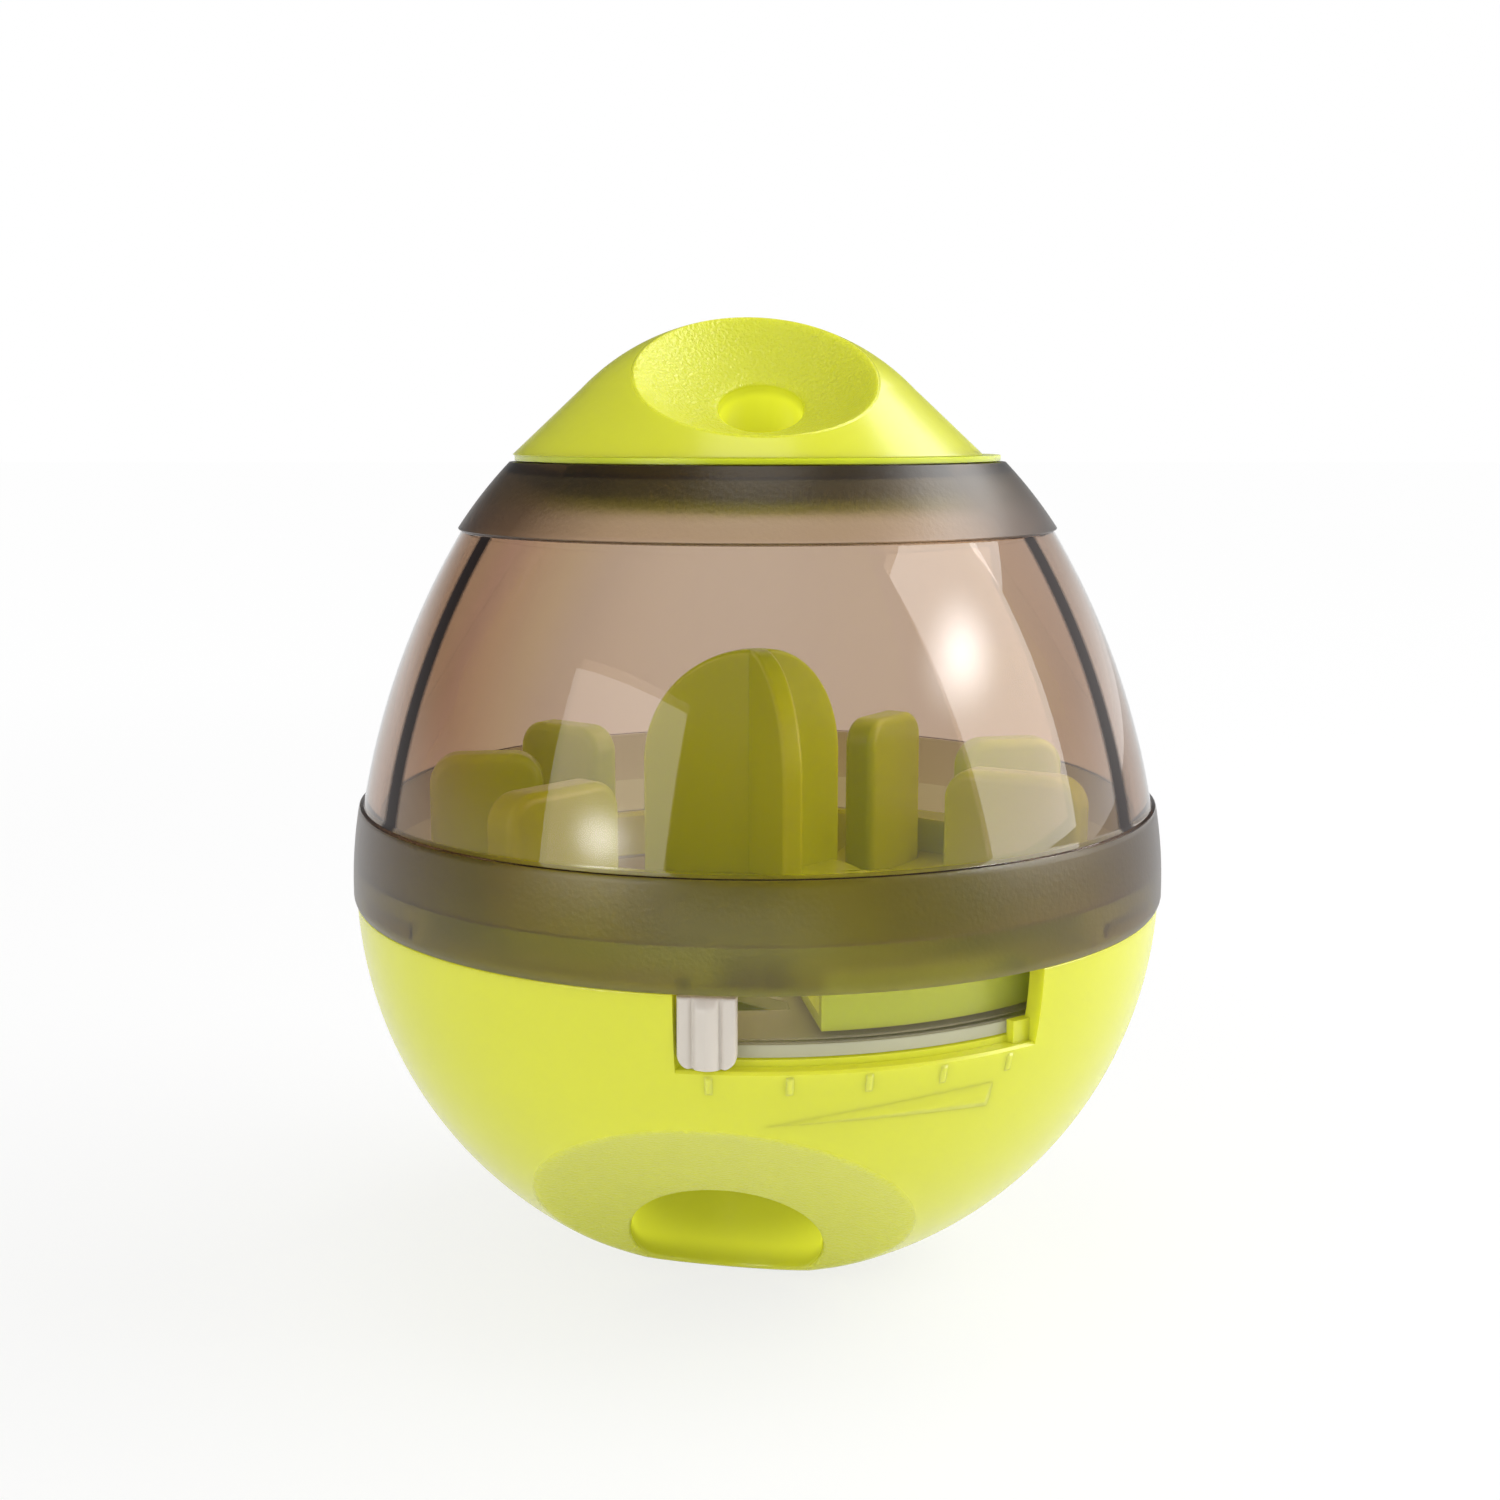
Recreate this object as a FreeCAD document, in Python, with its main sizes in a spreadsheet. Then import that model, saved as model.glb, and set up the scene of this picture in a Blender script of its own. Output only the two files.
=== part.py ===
import FreeCAD, Part
import math
import os
import re
import Sketcher

# Wobble treat dispenser: an egg-shaped tumbler of about 110 by 129 mm that a pet rolls to
# shake treats out. Millimetres, +Z up. The origin is the middle of the small flat foot
# under the bowl. -Y is the side with the selector slot and the treat exit, +X its right.
# Azimuths run in degrees from -Y towards +X. Heights named "above seam" count from the
# bowl's rim, where the clear dome meets it.

SIZES = {
    # The ball that the bowl is cut from
    "ball_radius": 54.6,
    "foot_radius": 7.0,
    "rim_below_centre": 2.05,
    "bowl_wall": 2.3,
    # Gaps: between moving pieces, between fixed pieces, and round a turning hub
    "run_gap": 0.3,
    "fit_gap": 0.15,
    "hub_gap": 0.05,
    # Scoop in the bowl's front, a shallow dish, and the round exit tunnel that opens in it
    "scoop_radius": 23.5,
    "scoop_tilt": 43.5,
    "scoop_swing": -7.4,
    "scoop_depth": 2.5,
    "scoop_wall": 2.0,
    "exit_radius": 12.6,
    "exit_wall": 2.0,
    "exit_lip": 0.8,
    "exit_tilt": 40.0,
    "exit_swing": -7.4,
    "exit_inset": 3.8,
    "exit_place_tilt": 27.8,
    "exit_place_swing": -10.1,
    "exit_reach": 18.0,
    # Selector slot in the bowl's rim, its stop and the raised scale marks under it
    "slot_start": -10.3,
    "slot_end": 38.0,
    "slot_depth": 9.3,
    "stop_span": 2.8,
    "stop_height": 2.7,
    "mark_first": -6.2,
    "mark_step": 10.0,
    "mark_count": 5,
    "mark_span": 0.9,
    "mark_top": 9.9,
    "mark_length": 2.4,
    "mark_proud": 0.25,
    # Twist lock between bowl and dome: three tabs on the bowl hold three lugs of the dome
    "lock_first": 60.0,
    "lock_count": 3,
    "lock_play": 1.0,
    "tab_span": 18.0,
    "tab_wall": 1.2,
    "tab_out": 0.25,
    "tab_root": 5.0,
    "tab_top": 4.4,
    "tab_lip": 0.8,
    "tab_lip_height": 1.4,
    "tab_stop_span": 2.0,
    "lug_span": 17.0,
    "lug_height": 1.3,
    "lug_clear": 0.25,
    # Ballast and the posts that it slips over
    "weight_top": 9.6,
    "post_radius": 3.5,
    "post_across": 14.0,
    "post_back": 14.0,
    # Sloping floor: a wide cone whose low point lies at the tunnel's inner mouth
    "floor_across": -3.0,
    "floor_behind_exit": 6.5,
    "floor_start": 12.0,
    "floor_low": 11.8,
    "floor_slope": 18.0,
    "floor_wall": 1.8,
    "floor_reach": 70.0,
    "floor_top": 36.0,
    "boss_radius": 5.0,
    "boss_seat": 13.5,
    # Screws
    "screw_radius": 1.5,
    "screw_head_radius": 2.8,
    "screw_head_height": 2.0,
    "screw_bite": 4.0,
    "pivot_bite": 6.0,
    # Gate: a smoked tray that turns under the maze, with a tapering window
    "gate_clear": 0.35,
    "gate_floor": 1.5,
    "gate_wall": 1.4,
    "gate_lip": 0.3,
    "gate_drop": 8.3,
    "window_start": -51.0,
    "window_end": 6.0,
    "window_wide_span": 19.0,
    "window_wide_in": 24.0,
    "window_margin": 2.3,
    "window_narrow_in": 34.5,
    "window_narrow_out": 37.5,
    # Knob on the gate, seen in the slot
    "knob_middle": -6.3,
    "knob_width": 6.8,
    "knob_top": 0.4,
    "knob_height": 8.4,
    "knob_sunk": 0.25,
    "knob_corner": 1.6,
    "knob_clear": 0.35,
    "tenon_width": 4.0,
    "tenon_height": 3.6,
    "tenon_top": 1.6,
    "rib_radius": 1.45,
    "rib_proud": 0.9,
    "flute_radius": 0.45,
    "flute_depth": 0.25,
    "flute_out": 1.75,
    # Maze: a tray hung on the bowl's rim, with radial fins and two windows
    "maze_floor": 1.5,
    "maze_floor_top": 4.5,
    "maze_wall": 1.5,
    "flange_inset": 1.35,
    "flange_height": 0.9,
    "hub_radius": 6.5,
    "spigot_radius": 4.0,
    "feed_start": -9.0,
    "feed_end": 8.5,
    "feed_inner": 23.0,
    "back_middle": -170.7,
    "back_span": 56.0,
    "back_inner": 25.0,
    "fin_middle": 9.6,
    "fin_first": 51.0,
    "fin_step": 43.1,
    "fin_thick": 5.2,
    "fin_inner_front": 28.7,
    "fin_inner_side": 29.4,
    "fin_inner_back": 27.9,
    "fin_clear_front": 0.7,
    "fin_clear_side": 2.7,
    "fin_clear_back": 3.7,
    "fin_top": 18.9,
    "fin_corner": 4.0,
    "fin_edge": 1.3,
    # Tower in the middle of the maze: a drum with three arched vanes
    "drum_radius": 16.0,
    "drum_top": 1.0,
    "drum_round": 1.5,
    "vane_first": 17.0,
    "vane_thick": 2.8,
    "vane_edge": 0.6,
    "vane_crown": 32.4,
    "peg_circle": 13.0,
    "peg_turn": 75.0,
    "peg_radius": 1.4,
    "peg_height": 3.0,
    "washer_radius": 9.0,
    "washer_height": 1.0,
    # Dome: clear window between a frosted band and a frosted collar
    "dome_wall": 2.0,
    "foot_inset": 0.05,
    "band_bulge": 0.45,
    "band_low": 1.6,
    "band_low_round": 2.2,
    "band_round": 60.0,
    "band_inset": 0.6,
    "band_top": 12.96,
    "band_step": 0.65,
    "window_low": 13.2,
    "window_round": 106.2,
    "window_top_radius": 39.6,
    "window_top": 49.1,
    "collar_low_radius": 40.0,
    "collar_low": 49.35,
    "collar_round": 60.0,
    "collar_width": 3.6,
    "collar_top": 58.1,
    "rebate_gap": 0.4,
    "rebate_top": 5.4,
    "mouth_radius": 29.5,
    "mouth_wall": 1.8,
    "mouth_depth": 4.8,
    "mouth_web": 2.0,
    # Lid: a ring with a bayonet neck, and the shell with the top scoop and filling port
    "lid_overhang": 2.9,
    "lid_height": 0.7,
    "lid_gap": 0.2,
    "neck_wall": 2.0,
    "neck_foot": 51.6,
    "neck_lug_reach": 1.4,
    "neck_lug_height": 1.4,
    "neck_lug_span": 22.0,
    "neck_notch_span": 26.0,
    "web_height": 1.8,
    "web_reach": 7.5,
    "cap_shift": -1.3,
    "cap_inset": 0.95,
    "cap_flare_run": 9.85,
    "cap_flare": 9.2,
    "cap_crown": 18.0,
    "cap_crown_round": 31.0,
    "cap_wall": 2.2,
    "cap_peg_inset": 5.0,
    "cap_peg_radius": 2.0,
    "cap_peg_depth": 2.6,
    "dish_radius": 16.1,
    "dish_depth": 6.65,
    "dish_tilt": 28.2,
    "dish_across": 0.4,
    "dish_forward": 14.5,
    "dish_drop": 7.6,
    "port_radius": 5.4,
    "port_wall": 1.8,
    "port_tilt": 33.5,
    "port_length": 7.3,
    "port_lip": 1.0,
}

# Sizes that follow from the driving ones
WORKED = {
    "ball_height": "sqrt(ball_radius^2 - foot_radius^2)",
    "seam": "ball_height - rim_below_centre",
    "inner_radius": "ball_radius - bowl_wall",
    "rim_outer": "sqrt(ball_radius^2 - rim_below_centre^2)",
    "rim_inner": "sqrt(inner_radius^2 - rim_below_centre^2)",
    "scoop_round": "(scoop_radius^2 + scoop_depth^2) / (2 * scoop_depth)",
    "scoop_reach": "sqrt(ball_radius^2 - scoop_radius^2) - scoop_depth + scoop_round",
    "exit_place": "ball_radius - exit_inset",
    "exit_out": "exit_place * sin(exit_place_tilt)",
    "exit_across": "exit_out * sin(exit_place_swing)",
    "exit_forward": "exit_out * cos(exit_place_swing)",
    "exit_height": "ball_height - exit_place * cos(exit_place_tilt)",
    "floor_forward": "exit_forward - floor_behind_exit",
    "floor_tip": "floor_low - floor_start * tan(floor_slope)",
    "floor_edge": "floor_tip + floor_reach * tan(floor_slope)",
    "slot_floor": "seam - slot_depth",
    "tab_radius": "rim_inner + tab_out",
    "lug_radius": "tab_radius + lug_clear",
    "gate_low": "seam - gate_drop",
    "gate_top": "gate_low + gate_floor",
    "gate_radius": "sqrt(inner_radius^2 - (ball_height - gate_low)^2) - gate_clear",
    "gate_wall_top": "seam - run_gap",
    "gate_wall_radius": "gate_radius - gate_lip",
    "gate_wall_inner": "gate_wall_radius - gate_wall",
    "window_wide_out": "gate_wall_inner - window_margin",
    "knob_face": "rim_outer - knob_sunk",
    "knob_back": "rim_inner + knob_clear",
    "stop_radius": "knob_back - run_gap",
    "maze_top": "seam - maze_floor_top",
    "maze_low": "maze_top - maze_floor",
    "maze_wall_radius": "gate_wall_inner - run_gap",
    "maze_wall_inner": "maze_wall_radius - maze_wall",
    "flange_radius": "rim_outer - flange_inset",
    "flange_top": "seam + flange_height",
    "fin_reach_front": "maze_wall_inner - fin_clear_front",
    "fin_reach_side": "maze_wall_inner - fin_clear_side",
    "fin_reach_back": "maze_wall_inner - fin_clear_back",
    "hub_low": "gate_low - run_gap",
    "washer_low": "hub_low - washer_height",
    "vane_spring": "seam + vane_crown - drum_radius",
    "dome_foot": "rim_outer - foot_inset",
    "rebate_radius": "flange_radius + rebate_gap",
    "band_radius": "rim_outer + band_bulge",
    "band_top_radius": "rim_outer - band_inset",
    "window_low_radius": "band_top_radius - band_step",
    "collar_top_radius": "mouth_radius + collar_width",
    "lid_low": "seam + collar_top + lid_gap",
    "lid_top": "lid_low + lid_height",
    "lid_radius": "mouth_radius + lid_overhang",
    "neck_radius": "mouth_radius - run_gap",
    "web_radius": "mouth_radius - web_reach",
    "cap_radius": "lid_radius - cap_inset",
    "cap_flare_radius": "cap_radius - cap_flare_run",
    "cap_slant": "sqrt(cap_flare_run^2 + cap_flare^2) / cap_flare",
    "cap_centre": "lid_top + cap_crown - cap_crown_round",
    "cap_peg_circle": "mouth_radius - cap_peg_inset",
    "dish_round": "(dish_radius^2 + dish_depth^2) / (2 * dish_depth)",
    "dish_height": "lid_top + cap_crown - dish_drop",
    "dish_ball_forward": "dish_forward + (dish_round - dish_depth) * sin(dish_tilt)",
    "dish_ball_height": "dish_height + (dish_round - dish_depth) * cos(dish_tilt)",
    "port_forward": "dish_ball_forward - dish_round * sin(port_tilt)",
    "port_height": "dish_ball_height - dish_round * cos(port_tilt)",
}

doc = FreeCAD.newDocument("wobble_treat_dispenser")
sheet = doc.addObject("Spreadsheet::Sheet", "Sizes")


def fill_sheet():
    """Write every size and every worked-out value into the sheet under its own name."""
    rows = list(SIZES.items()) + [(name, "=" + rule) for name, rule in WORKED.items()]
    for row, (name, value) in enumerate(rows, start=1):
        sheet.set("A%d" % row, name)
        sheet.set("B%d" % row, str(value))
        sheet.setAlias("B%d" % row, name)
    doc.recompute()


NAMES = set(SIZES) | set(WORKED)


def bound(formula):
    """The formula as other objects read it: each size is led by the sheet's name."""
    def lead(match):
        word = match.group(0)
        return "Sizes." + word if word in NAMES else word
    return re.sub(r"[a-z_]+", lead, str(formula))


def reckon(formula):
    """The value of a formula over the named sizes."""
    return float(sheet.evalExpression(bound(formula)))


def tie(thing, **rules):
    """Bind the properties of a feature to formulas over the sheet."""
    for prop, formula in rules.items():
        thing.setExpression(prop, bound(formula))


def plane_of(body, role):
    return [part for part in body.Origin.OriginFeatures if part.Role == role][0]


def new_body(label):
    body = doc.addObject("PartDesign::Body", label)
    body.Label = label
    return body


def place(feature, x="0", y="0", z="0", turn=None):
    """Bind a feature's offset from its plane: a shift and, if asked, (axis, angle)."""
    axis, angle = turn if turn else ("0; 0; 1", "0")
    rule = "placement(vector(%s; %s; %s); rotation(vector(%s); %s))"
    feature.setExpression("AttachmentOffset", bound(rule % (x, y, z, axis, angle)))


def new_sketch(body, name, role="XZ_Plane", lift="0", azimuth=None, shift=None):
    """A sketch on one of the body's planes. On XZ its x runs out along the azimuth."""
    sketch = body.newObject("Sketcher::SketchObject", name)
    sketch.AttachmentSupport = [(plane_of(body, role), "")]
    sketch.MapMode = "FlatFace"
    if azimuth is not None:
        place(sketch, turn=("0; 1; 0", "(%s) - 90" % azimuth))
    elif lift != "0":
        place(sketch, z=lift)
    elif shift is not None:
        place(sketch, x=shift)
    return sketch


def fix_point(sketch, geometry, end, x, y):
    """Hold one end of a sketch line or arc at two formulas."""
    for kind, formula in (("DistanceX", x), ("DistanceY", y)):
        rule = Sketcher.Constraint(kind, -1, 1, geometry, end, reckon(formula))
        index = sketch.addConstraint(rule)
        sketch.setExpression("Constraints[%d]" % index, bound(formula))


def arc_middle(start, end, radius, side):
    """A point half way along the shorter arc whose centre lies on the given side."""
    chord = end - start
    middle = (start + end) * 0.5
    normal = FreeCAD.Vector(-chord.y, chord.x, 0).normalize()
    height = math.sqrt(max(radius ** 2 - (chord.Length / 2) ** 2, 0))
    return middle - normal * side * (radius - height)


def draw(sketch, corners):
    """Draw a closed outline. A corner is (x, y), and a line leads on from it, or
    (x, y, radius, side), and an arc does, its centre to the left (1) or right (-1)."""
    points = [FreeCAD.Vector(reckon(corner[0]), reckon(corner[1]), 0) for corner in corners]
    ends = []
    for corner, start, end in zip(corners, points, points[1:] + points[:1]):
        if len(corner) == 2:
            index = sketch.addGeometry(Part.LineSegment(start, end), False)
        else:
            radius = reckon(corner[2])
            middle = arc_middle(start, end, radius, corner[3])
            index = sketch.addGeometry(Part.Arc(start, middle, end), False)
            rule = sketch.addConstraint(Sketcher.Constraint("Radius", index, radius))
            sketch.setExpression("Constraints[%d]" % rule, bound(corner[2]))
        first = 1 if sketch.getPoint(index, 1).distanceToPoint(start) < 1e-6 else 2
        ends.append((index, first))
    for here, after, corner in zip(ends, ends[1:] + ends[:1], corners[1:] + corners[:1]):
        last = 3 - here[1]
        sketch.addConstraint(Sketcher.Constraint("Coincident", here[0], last, *after))
        fix_point(sketch, after[0], after[1], corner[0], corner[1])


def revolve(body, name, corners, azimuth=None, span="360", cut=False, shift=None):
    """Turn an outline of (radius, height) corners about the Z axis, or beside it."""
    sketch = new_sketch(body, name + "_outline", azimuth=azimuth, shift=shift)
    draw(sketch, corners)
    kind = "PartDesign::Groove" if cut else "PartDesign::Revolution"
    turned = body.newObject(kind, name)
    turned.Profile = sketch
    turned.ReferenceAxis = (sketch, ["V_Axis"])
    turned.setExpression("Angle", bound(span))
    body.Tip = turned
    return turned


def sector(body, name, radii, heights, start, span, cut=False):
    """A ring sector between two radii and two heights, from an azimuth on."""
    (near, far), (low, high) = radii, heights
    corners = [(near, low), (far, low), (far, high), (near, high)]
    return revolve(body, name, corners, azimuth=start, span=span, cut=cut)


def around(body, name, features, count="lock_count"):
    """Repeat features evenly round the body's Z axis."""
    ring = body.newObject("PartDesign::PolarPattern", name)
    ring.Originals = features
    ring.Axis = (plane_of(body, "Z_Axis"), [""])
    ring.Angle = 360
    ring.setExpression("Occurrences", bound(count))
    body.Tip = ring
    return ring


def pad(body, sketch, name, length, middle=False, cut=False, up=True):
    """Raise a sketch into a pad, or sink it as a pocket, along +Z when up."""
    kind = "PartDesign::Pocket" if cut else "PartDesign::Pad"
    feature = body.newObject(kind, name)
    feature.Profile = sketch
    feature.setExpression("Length", bound(length))
    feature.Midplane = middle
    feature.Reversed = (up == cut) and not middle
    body.Tip = feature
    return feature


def round_solid(body, kind, name, x, y, z, turn=None, **rules):
    """An additive or subtractive ball, drum or cone at a bound place in the body."""
    feature = body.newObject("PartDesign::" + kind, name)
    feature.AttachmentSupport = [(plane_of(body, "XY_Plane"), "")]
    feature.MapMode = "FlatFace"
    place(feature, x, y, z, turn)
    tie(feature, **rules)
    body.Tip = feature
    return feature


def drum(body, name, x, y, low, high, radius, cut=False):
    """An upright cylinder between two heights."""
    kind = "SubtractiveCylinder" if cut else "AdditiveCylinder"
    height = "(%s) - (%s)" % (high, low)
    return round_solid(body, kind, name, x, y, low, Radius=radius, Height=height)


def join(kind, label, base, tool):
    """Cut, fuse or intersect two finished shapes."""
    joined = doc.addObject("Part::" + kind, label)
    joined.Base = base
    joined.Tool = tool
    joined.Label = label
    return joined


def fuse_all(label, shapes):
    joined = doc.addObject("Part::MultiFuse", label)
    joined.Shapes = shapes
    joined.Label = label
    return joined


def round_edges(body, feature, name, radius, choose):
    """Fillet those edges of a feature that the choice function accepts."""
    doc.recompute()
    edges = ["Edge%d" % (index + 1)
             for index, edge in enumerate(feature.Shape.Edges) if choose(edge)]
    fillet = body.newObject("PartDesign::Fillet", name)
    fillet.Base = (feature, edges)
    fillet.setExpression("Radius", bound(radius))
    body.Tip = fillet
    return fillet


def rim_of(feature, radius, low, high):
    """A choice of the edges of a bore's wall whose middles lie between two heights."""
    doc.recompute()
    walls = [face for face in feature.Shape.Faces
             if isinstance(face.Surface, Part.Cylinder)
             and abs(face.Surface.Radius / reckon(radius) - 1) < 1e-6]
    bottom, top = reckon(low), reckon(high)

    def is_rim(edge):
        on_wall = any(edge.isSame(other) for face in walls for other in face.Edges)
        return on_wall and bottom < edge.CenterOfMass.z < top

    return is_rim


def toward(tilt, swing):
    """The turn that points +Z down and forward, tilted from straight down."""
    angle = "180 - %s" % tilt
    return "cos(%s); sin(%s); 0" % (swing, swing), angle


def down_point(reach, tilt, swing):
    """A point that far from the ball's centre, down and forward: x, y, z formulas."""
    x = "%s * sin(%s) * sin(%s)" % (reach, tilt, swing)
    y = "-%s * sin(%s) * cos(%s)" % (reach, tilt, swing)
    z = "ball_height - %s * cos(%s)" % (reach, tilt)
    return x, y, z


def along_exit(distance):
    """A point on the exit tunnel's axis, that far inward from its named place."""
    x = "exit_across - (%s) * sin(exit_tilt) * sin(exit_swing)" % distance
    y = "(%s) * sin(exit_tilt) * cos(exit_swing) - exit_forward" % distance
    z = "exit_height + (%s) * cos(exit_tilt)" % distance
    return x, y, z


def tunnel(body, name, radius, inner_end, length, cut):
    """A cylinder on the exit tunnel's axis, from its inner end outward."""
    kind = "SubtractiveCylinder" if cut else "AdditiveCylinder"
    x, y, z = along_exit(inner_end)
    turn = toward("exit_tilt", "exit_swing")
    return round_solid(body, kind, name, x, y, z, turn, Radius=radius, Height=length)


def make_bowl():
    """Lower shell: a ball cut off at the seam, with foot, scoop, exit, slot and tabs."""
    outside = new_body("bowl_outside")
    revolve(outside, "Ball", [
        ("0", "0"),
        ("foot_radius", "0", "ball_radius", 1),
        ("rim_outer", "seam"),
        ("0", "seam"),
    ])
    x, y, z = down_point("scoop_reach", "scoop_tilt", "scoop_swing")
    round_solid(outside, "SubtractiveSphere", "Scoop", x, y, z, Radius="scoop_round")
    bore = tunnel(outside, "ExitBore", "exit_radius", "exit_reach", "ball_radius", cut=True)
    round_edges(outside, bore, "ExitLip", "exit_lip",
                rim_of(bore, "exit_radius", "0", "exit_height + exit_radius / 4"))
    slot_span = "slot_end - slot_start"
    slot_heights = ("slot_floor", "seam + bowl_wall")
    slot_radii = ("maze_wall_radius", "ball_radius + bowl_wall")
    sector(outside, "Slot", slot_radii, slot_heights, "slot_start", slot_span, cut=True)

    inside = new_body("bowl_inside")
    revolve(inside, "Hollow", [
        ("0", "ball_height - inner_radius", "inner_radius", 1),
        ("rim_inner", "seam"),
        ("rim_inner", "seam + bowl_wall"),
        ("0", "seam + bowl_wall"),
    ])
    round_solid(inside, "SubtractiveSphere", "ScoopBack", x, y, z,
                Radius="scoop_round + scoop_wall")
    for side in ("-", ""):
        name = "PostLeft" if side else "PostRight"
        across = side + "post_across"
        drum(inside, name, across, "post_back", "0", "weight_top", "post_radius", cut=True)
        drum(inside, name + "Bore", across, "post_back", "weight_top - screw_bite",
             "weight_top + run_gap", "screw_radius")

    sleeve = new_body("bowl_sleeve")
    tunnel(sleeve, "ExitSleeve", "exit_radius + exit_wall", "exit_reach", "ball_radius",
           cut=False)
    kept = join("Cut", "bowl_sleeve_kept", sleeve, floor_layer("bowl_sleeve_room", "0"))
    hollow = join("Cut", "bowl_hollow", inside, kept)
    hollowed = join("Cut", "bowl_hollowed", outside, hollow)
    return fuse_all("bowl", [hollowed, make_tabs(), make_slot_stop(), make_marks()])


def floor_layer(label, low, high="floor_top + floor_reach"):
    """The space over the sloping floor, or a layer of it when a top is given. Both
    heights count from the floor's upper face."""
    layer = new_body(label)
    if high == "0":
        ceiling = [("floor_reach", "floor_edge"), ("0", "floor_tip")]
    else:
        ceiling = [("floor_reach", high), ("0", high)]
    revolve(layer, "Layer", [
        ("0", "floor_tip + %s" % low),
        ("floor_reach", "floor_edge + %s" % low),
    ] + ceiling)
    rule = "placement(vector(floor_across; -floor_forward; 0); rotation(vector(0; 0; 1); 0))"
    layer.setExpression("Placement", bound(rule))
    return layer


def make_tabs():
    """Three upright tabs on the bowl's rim, each with a lip and an end stop."""
    tabs = new_body("bowl_tabs")
    start = "lock_first - tab_span / 2"
    tab = revolve(tabs, "Tab", [
        ("tab_radius - tab_wall", "seam - tab_root"),
        ("rim_inner + tab_wall", "seam - tab_root"),
        ("rim_inner + tab_wall", "seam"),
        ("tab_radius", "seam"),
        ("tab_radius", "seam + tab_top - tab_lip_height"),
        ("tab_radius + tab_lip", "seam + tab_top - tab_lip_height"),
        ("tab_radius + tab_lip", "seam + tab_top"),
        ("tab_radius - tab_wall", "seam + tab_top"),
    ], azimuth=start, span="tab_span")
    stop = sector(tabs, "TabStop", ("tab_radius - tab_wall", "tab_radius + tab_lip"),
                  ("seam", "seam + tab_top"), start + " - tab_stop_span", "tab_stop_span")
    around(tabs, "TabRing", [tab, stop])
    return tabs


def make_slot_stop():
    """Small ledge in the slot's lower right corner."""
    ledge = new_body("bowl_slot_stop")
    sector(ledge, "Ledge", ("rim_inner - tab_wall", "stop_radius"),
           ("slot_floor - tab_wall", "slot_floor + stop_height"),
           "slot_end - stop_span", "stop_span + mark_span")
    return ledge


def make_marks():
    """Five short raised marks under the slot."""
    marks = new_body("bowl_marks")
    top = "seam - mark_top"
    low = "seam - mark_top - mark_length"
    top_out = "sqrt((ball_radius + mark_proud)^2 - (rim_below_centre + mark_top)^2)"
    low_out = "sqrt((ball_radius + mark_proud)^2 - (rim_below_centre + mark_top + mark_length)^2)"
    mark = revolve(marks, "Mark", [
        (low_out + " - 2 * mark_proud", low),
        (low_out, low, "ball_radius + mark_proud", 1),
        (top_out, top),
        (top_out + " - 2 * mark_proud", top),
    ], azimuth="mark_first - mark_span / 2", span="mark_span")
    row = marks.newObject("PartDesign::PolarPattern", "MarkRow")
    row.Originals = [mark]
    row.Axis = (plane_of(marks, "Z_Axis"), [""])
    tie(row, Angle="mark_step * (mark_count - 1)", Occurrences="mark_count")
    marks.Tip = row
    return marks


def make_counterweight():
    """Ballast: a lens that lies in the bowl, notched for the tunnel, holed for the posts."""
    weight = new_body("counterweight")
    seat = "inner_radius - run_gap"
    revolve(weight, "Lens", [
        ("0", "ball_height - (%s)" % seat, seat, 1),
        ("sqrt((%s)^2 - (ball_height - weight_top)^2)" % seat, "weight_top"),
        ("0", "weight_top"),
    ])
    tunnel(weight, "TunnelNotch", "exit_radius + exit_wall + run_gap",
           "exit_reach + ball_radius", "2 * ball_radius", cut=True)
    for side in ("-", ""):
        name = "HoleLeft" if side else "HoleRight"
        drum(weight, name, side + "post_across", "post_back", "0", "weight_top + run_gap",
             "post_radius + run_gap", cut=True)
    return weight


def make_chute_floor():
    """Sloping floor over the ballast, trimmed to the inside of the bowl, on two bosses."""
    plate = floor_layer("chute_plate", "-(floor_wall / cos(floor_slope))", "0")
    bosses = new_body("chute_bosses")
    space = new_body("chute_screw_room")
    for side in ("-", ""):
        name = "BossLeft" if side else "BossRight"
        across = side + "post_across"
        drum(bosses, name, across, "post_back", "weight_top + fit_gap", "floor_top",
             "boss_radius")
        drum(space, name + "Bore", across, "post_back", "0", "boss_seat",
             "screw_radius + fit_gap")
        drum(space, name + "Head", across, "post_back", "boss_seat", "floor_top",
             "screw_head_radius + fit_gap")
    solid = join("Cut", "chute_bosses_kept", fuse_all("chute_solid", [plate, bosses]),
                 floor_layer("chute_over_floor", "0"))
    bored = join("Cut", "chute_bored", solid, space)

    room = new_body("chute_room")
    seat = "inner_radius - run_gap"
    revolve(room, "Room", [
        ("0", "ball_height - (%s)" % seat, seat, 1),
        ("sqrt((%s)^2 - (ball_height - floor_top)^2)" % seat, "floor_top"),
        ("0", "floor_top"),
    ])
    round_solid(room, "SubtractiveSphere", "ScoopBack",
                *down_point("scoop_reach", "scoop_tilt", "scoop_swing"),
                Radius="scoop_round + scoop_wall + run_gap")
    tunnel(room, "SleeveRoom", "exit_radius + exit_wall + run_gap",
           "exit_reach + ball_radius", "2 * ball_radius", cut=True)
    return join("Common", "chute_floor", bored, room)


def make_screw(body, name, x, y, head_low, head_high, tip):
    """A pan-head screw on an upright axis. The tip may lie below or above the head."""
    drum(body, name + "Head", x, y, head_low, head_high, "screw_head_radius")
    low, high = (tip, head_low) if reckon(tip) < reckon(head_low) else (head_high, tip)
    drum(body, name + "Shank", x, y, low, high, "screw_radius")


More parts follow.
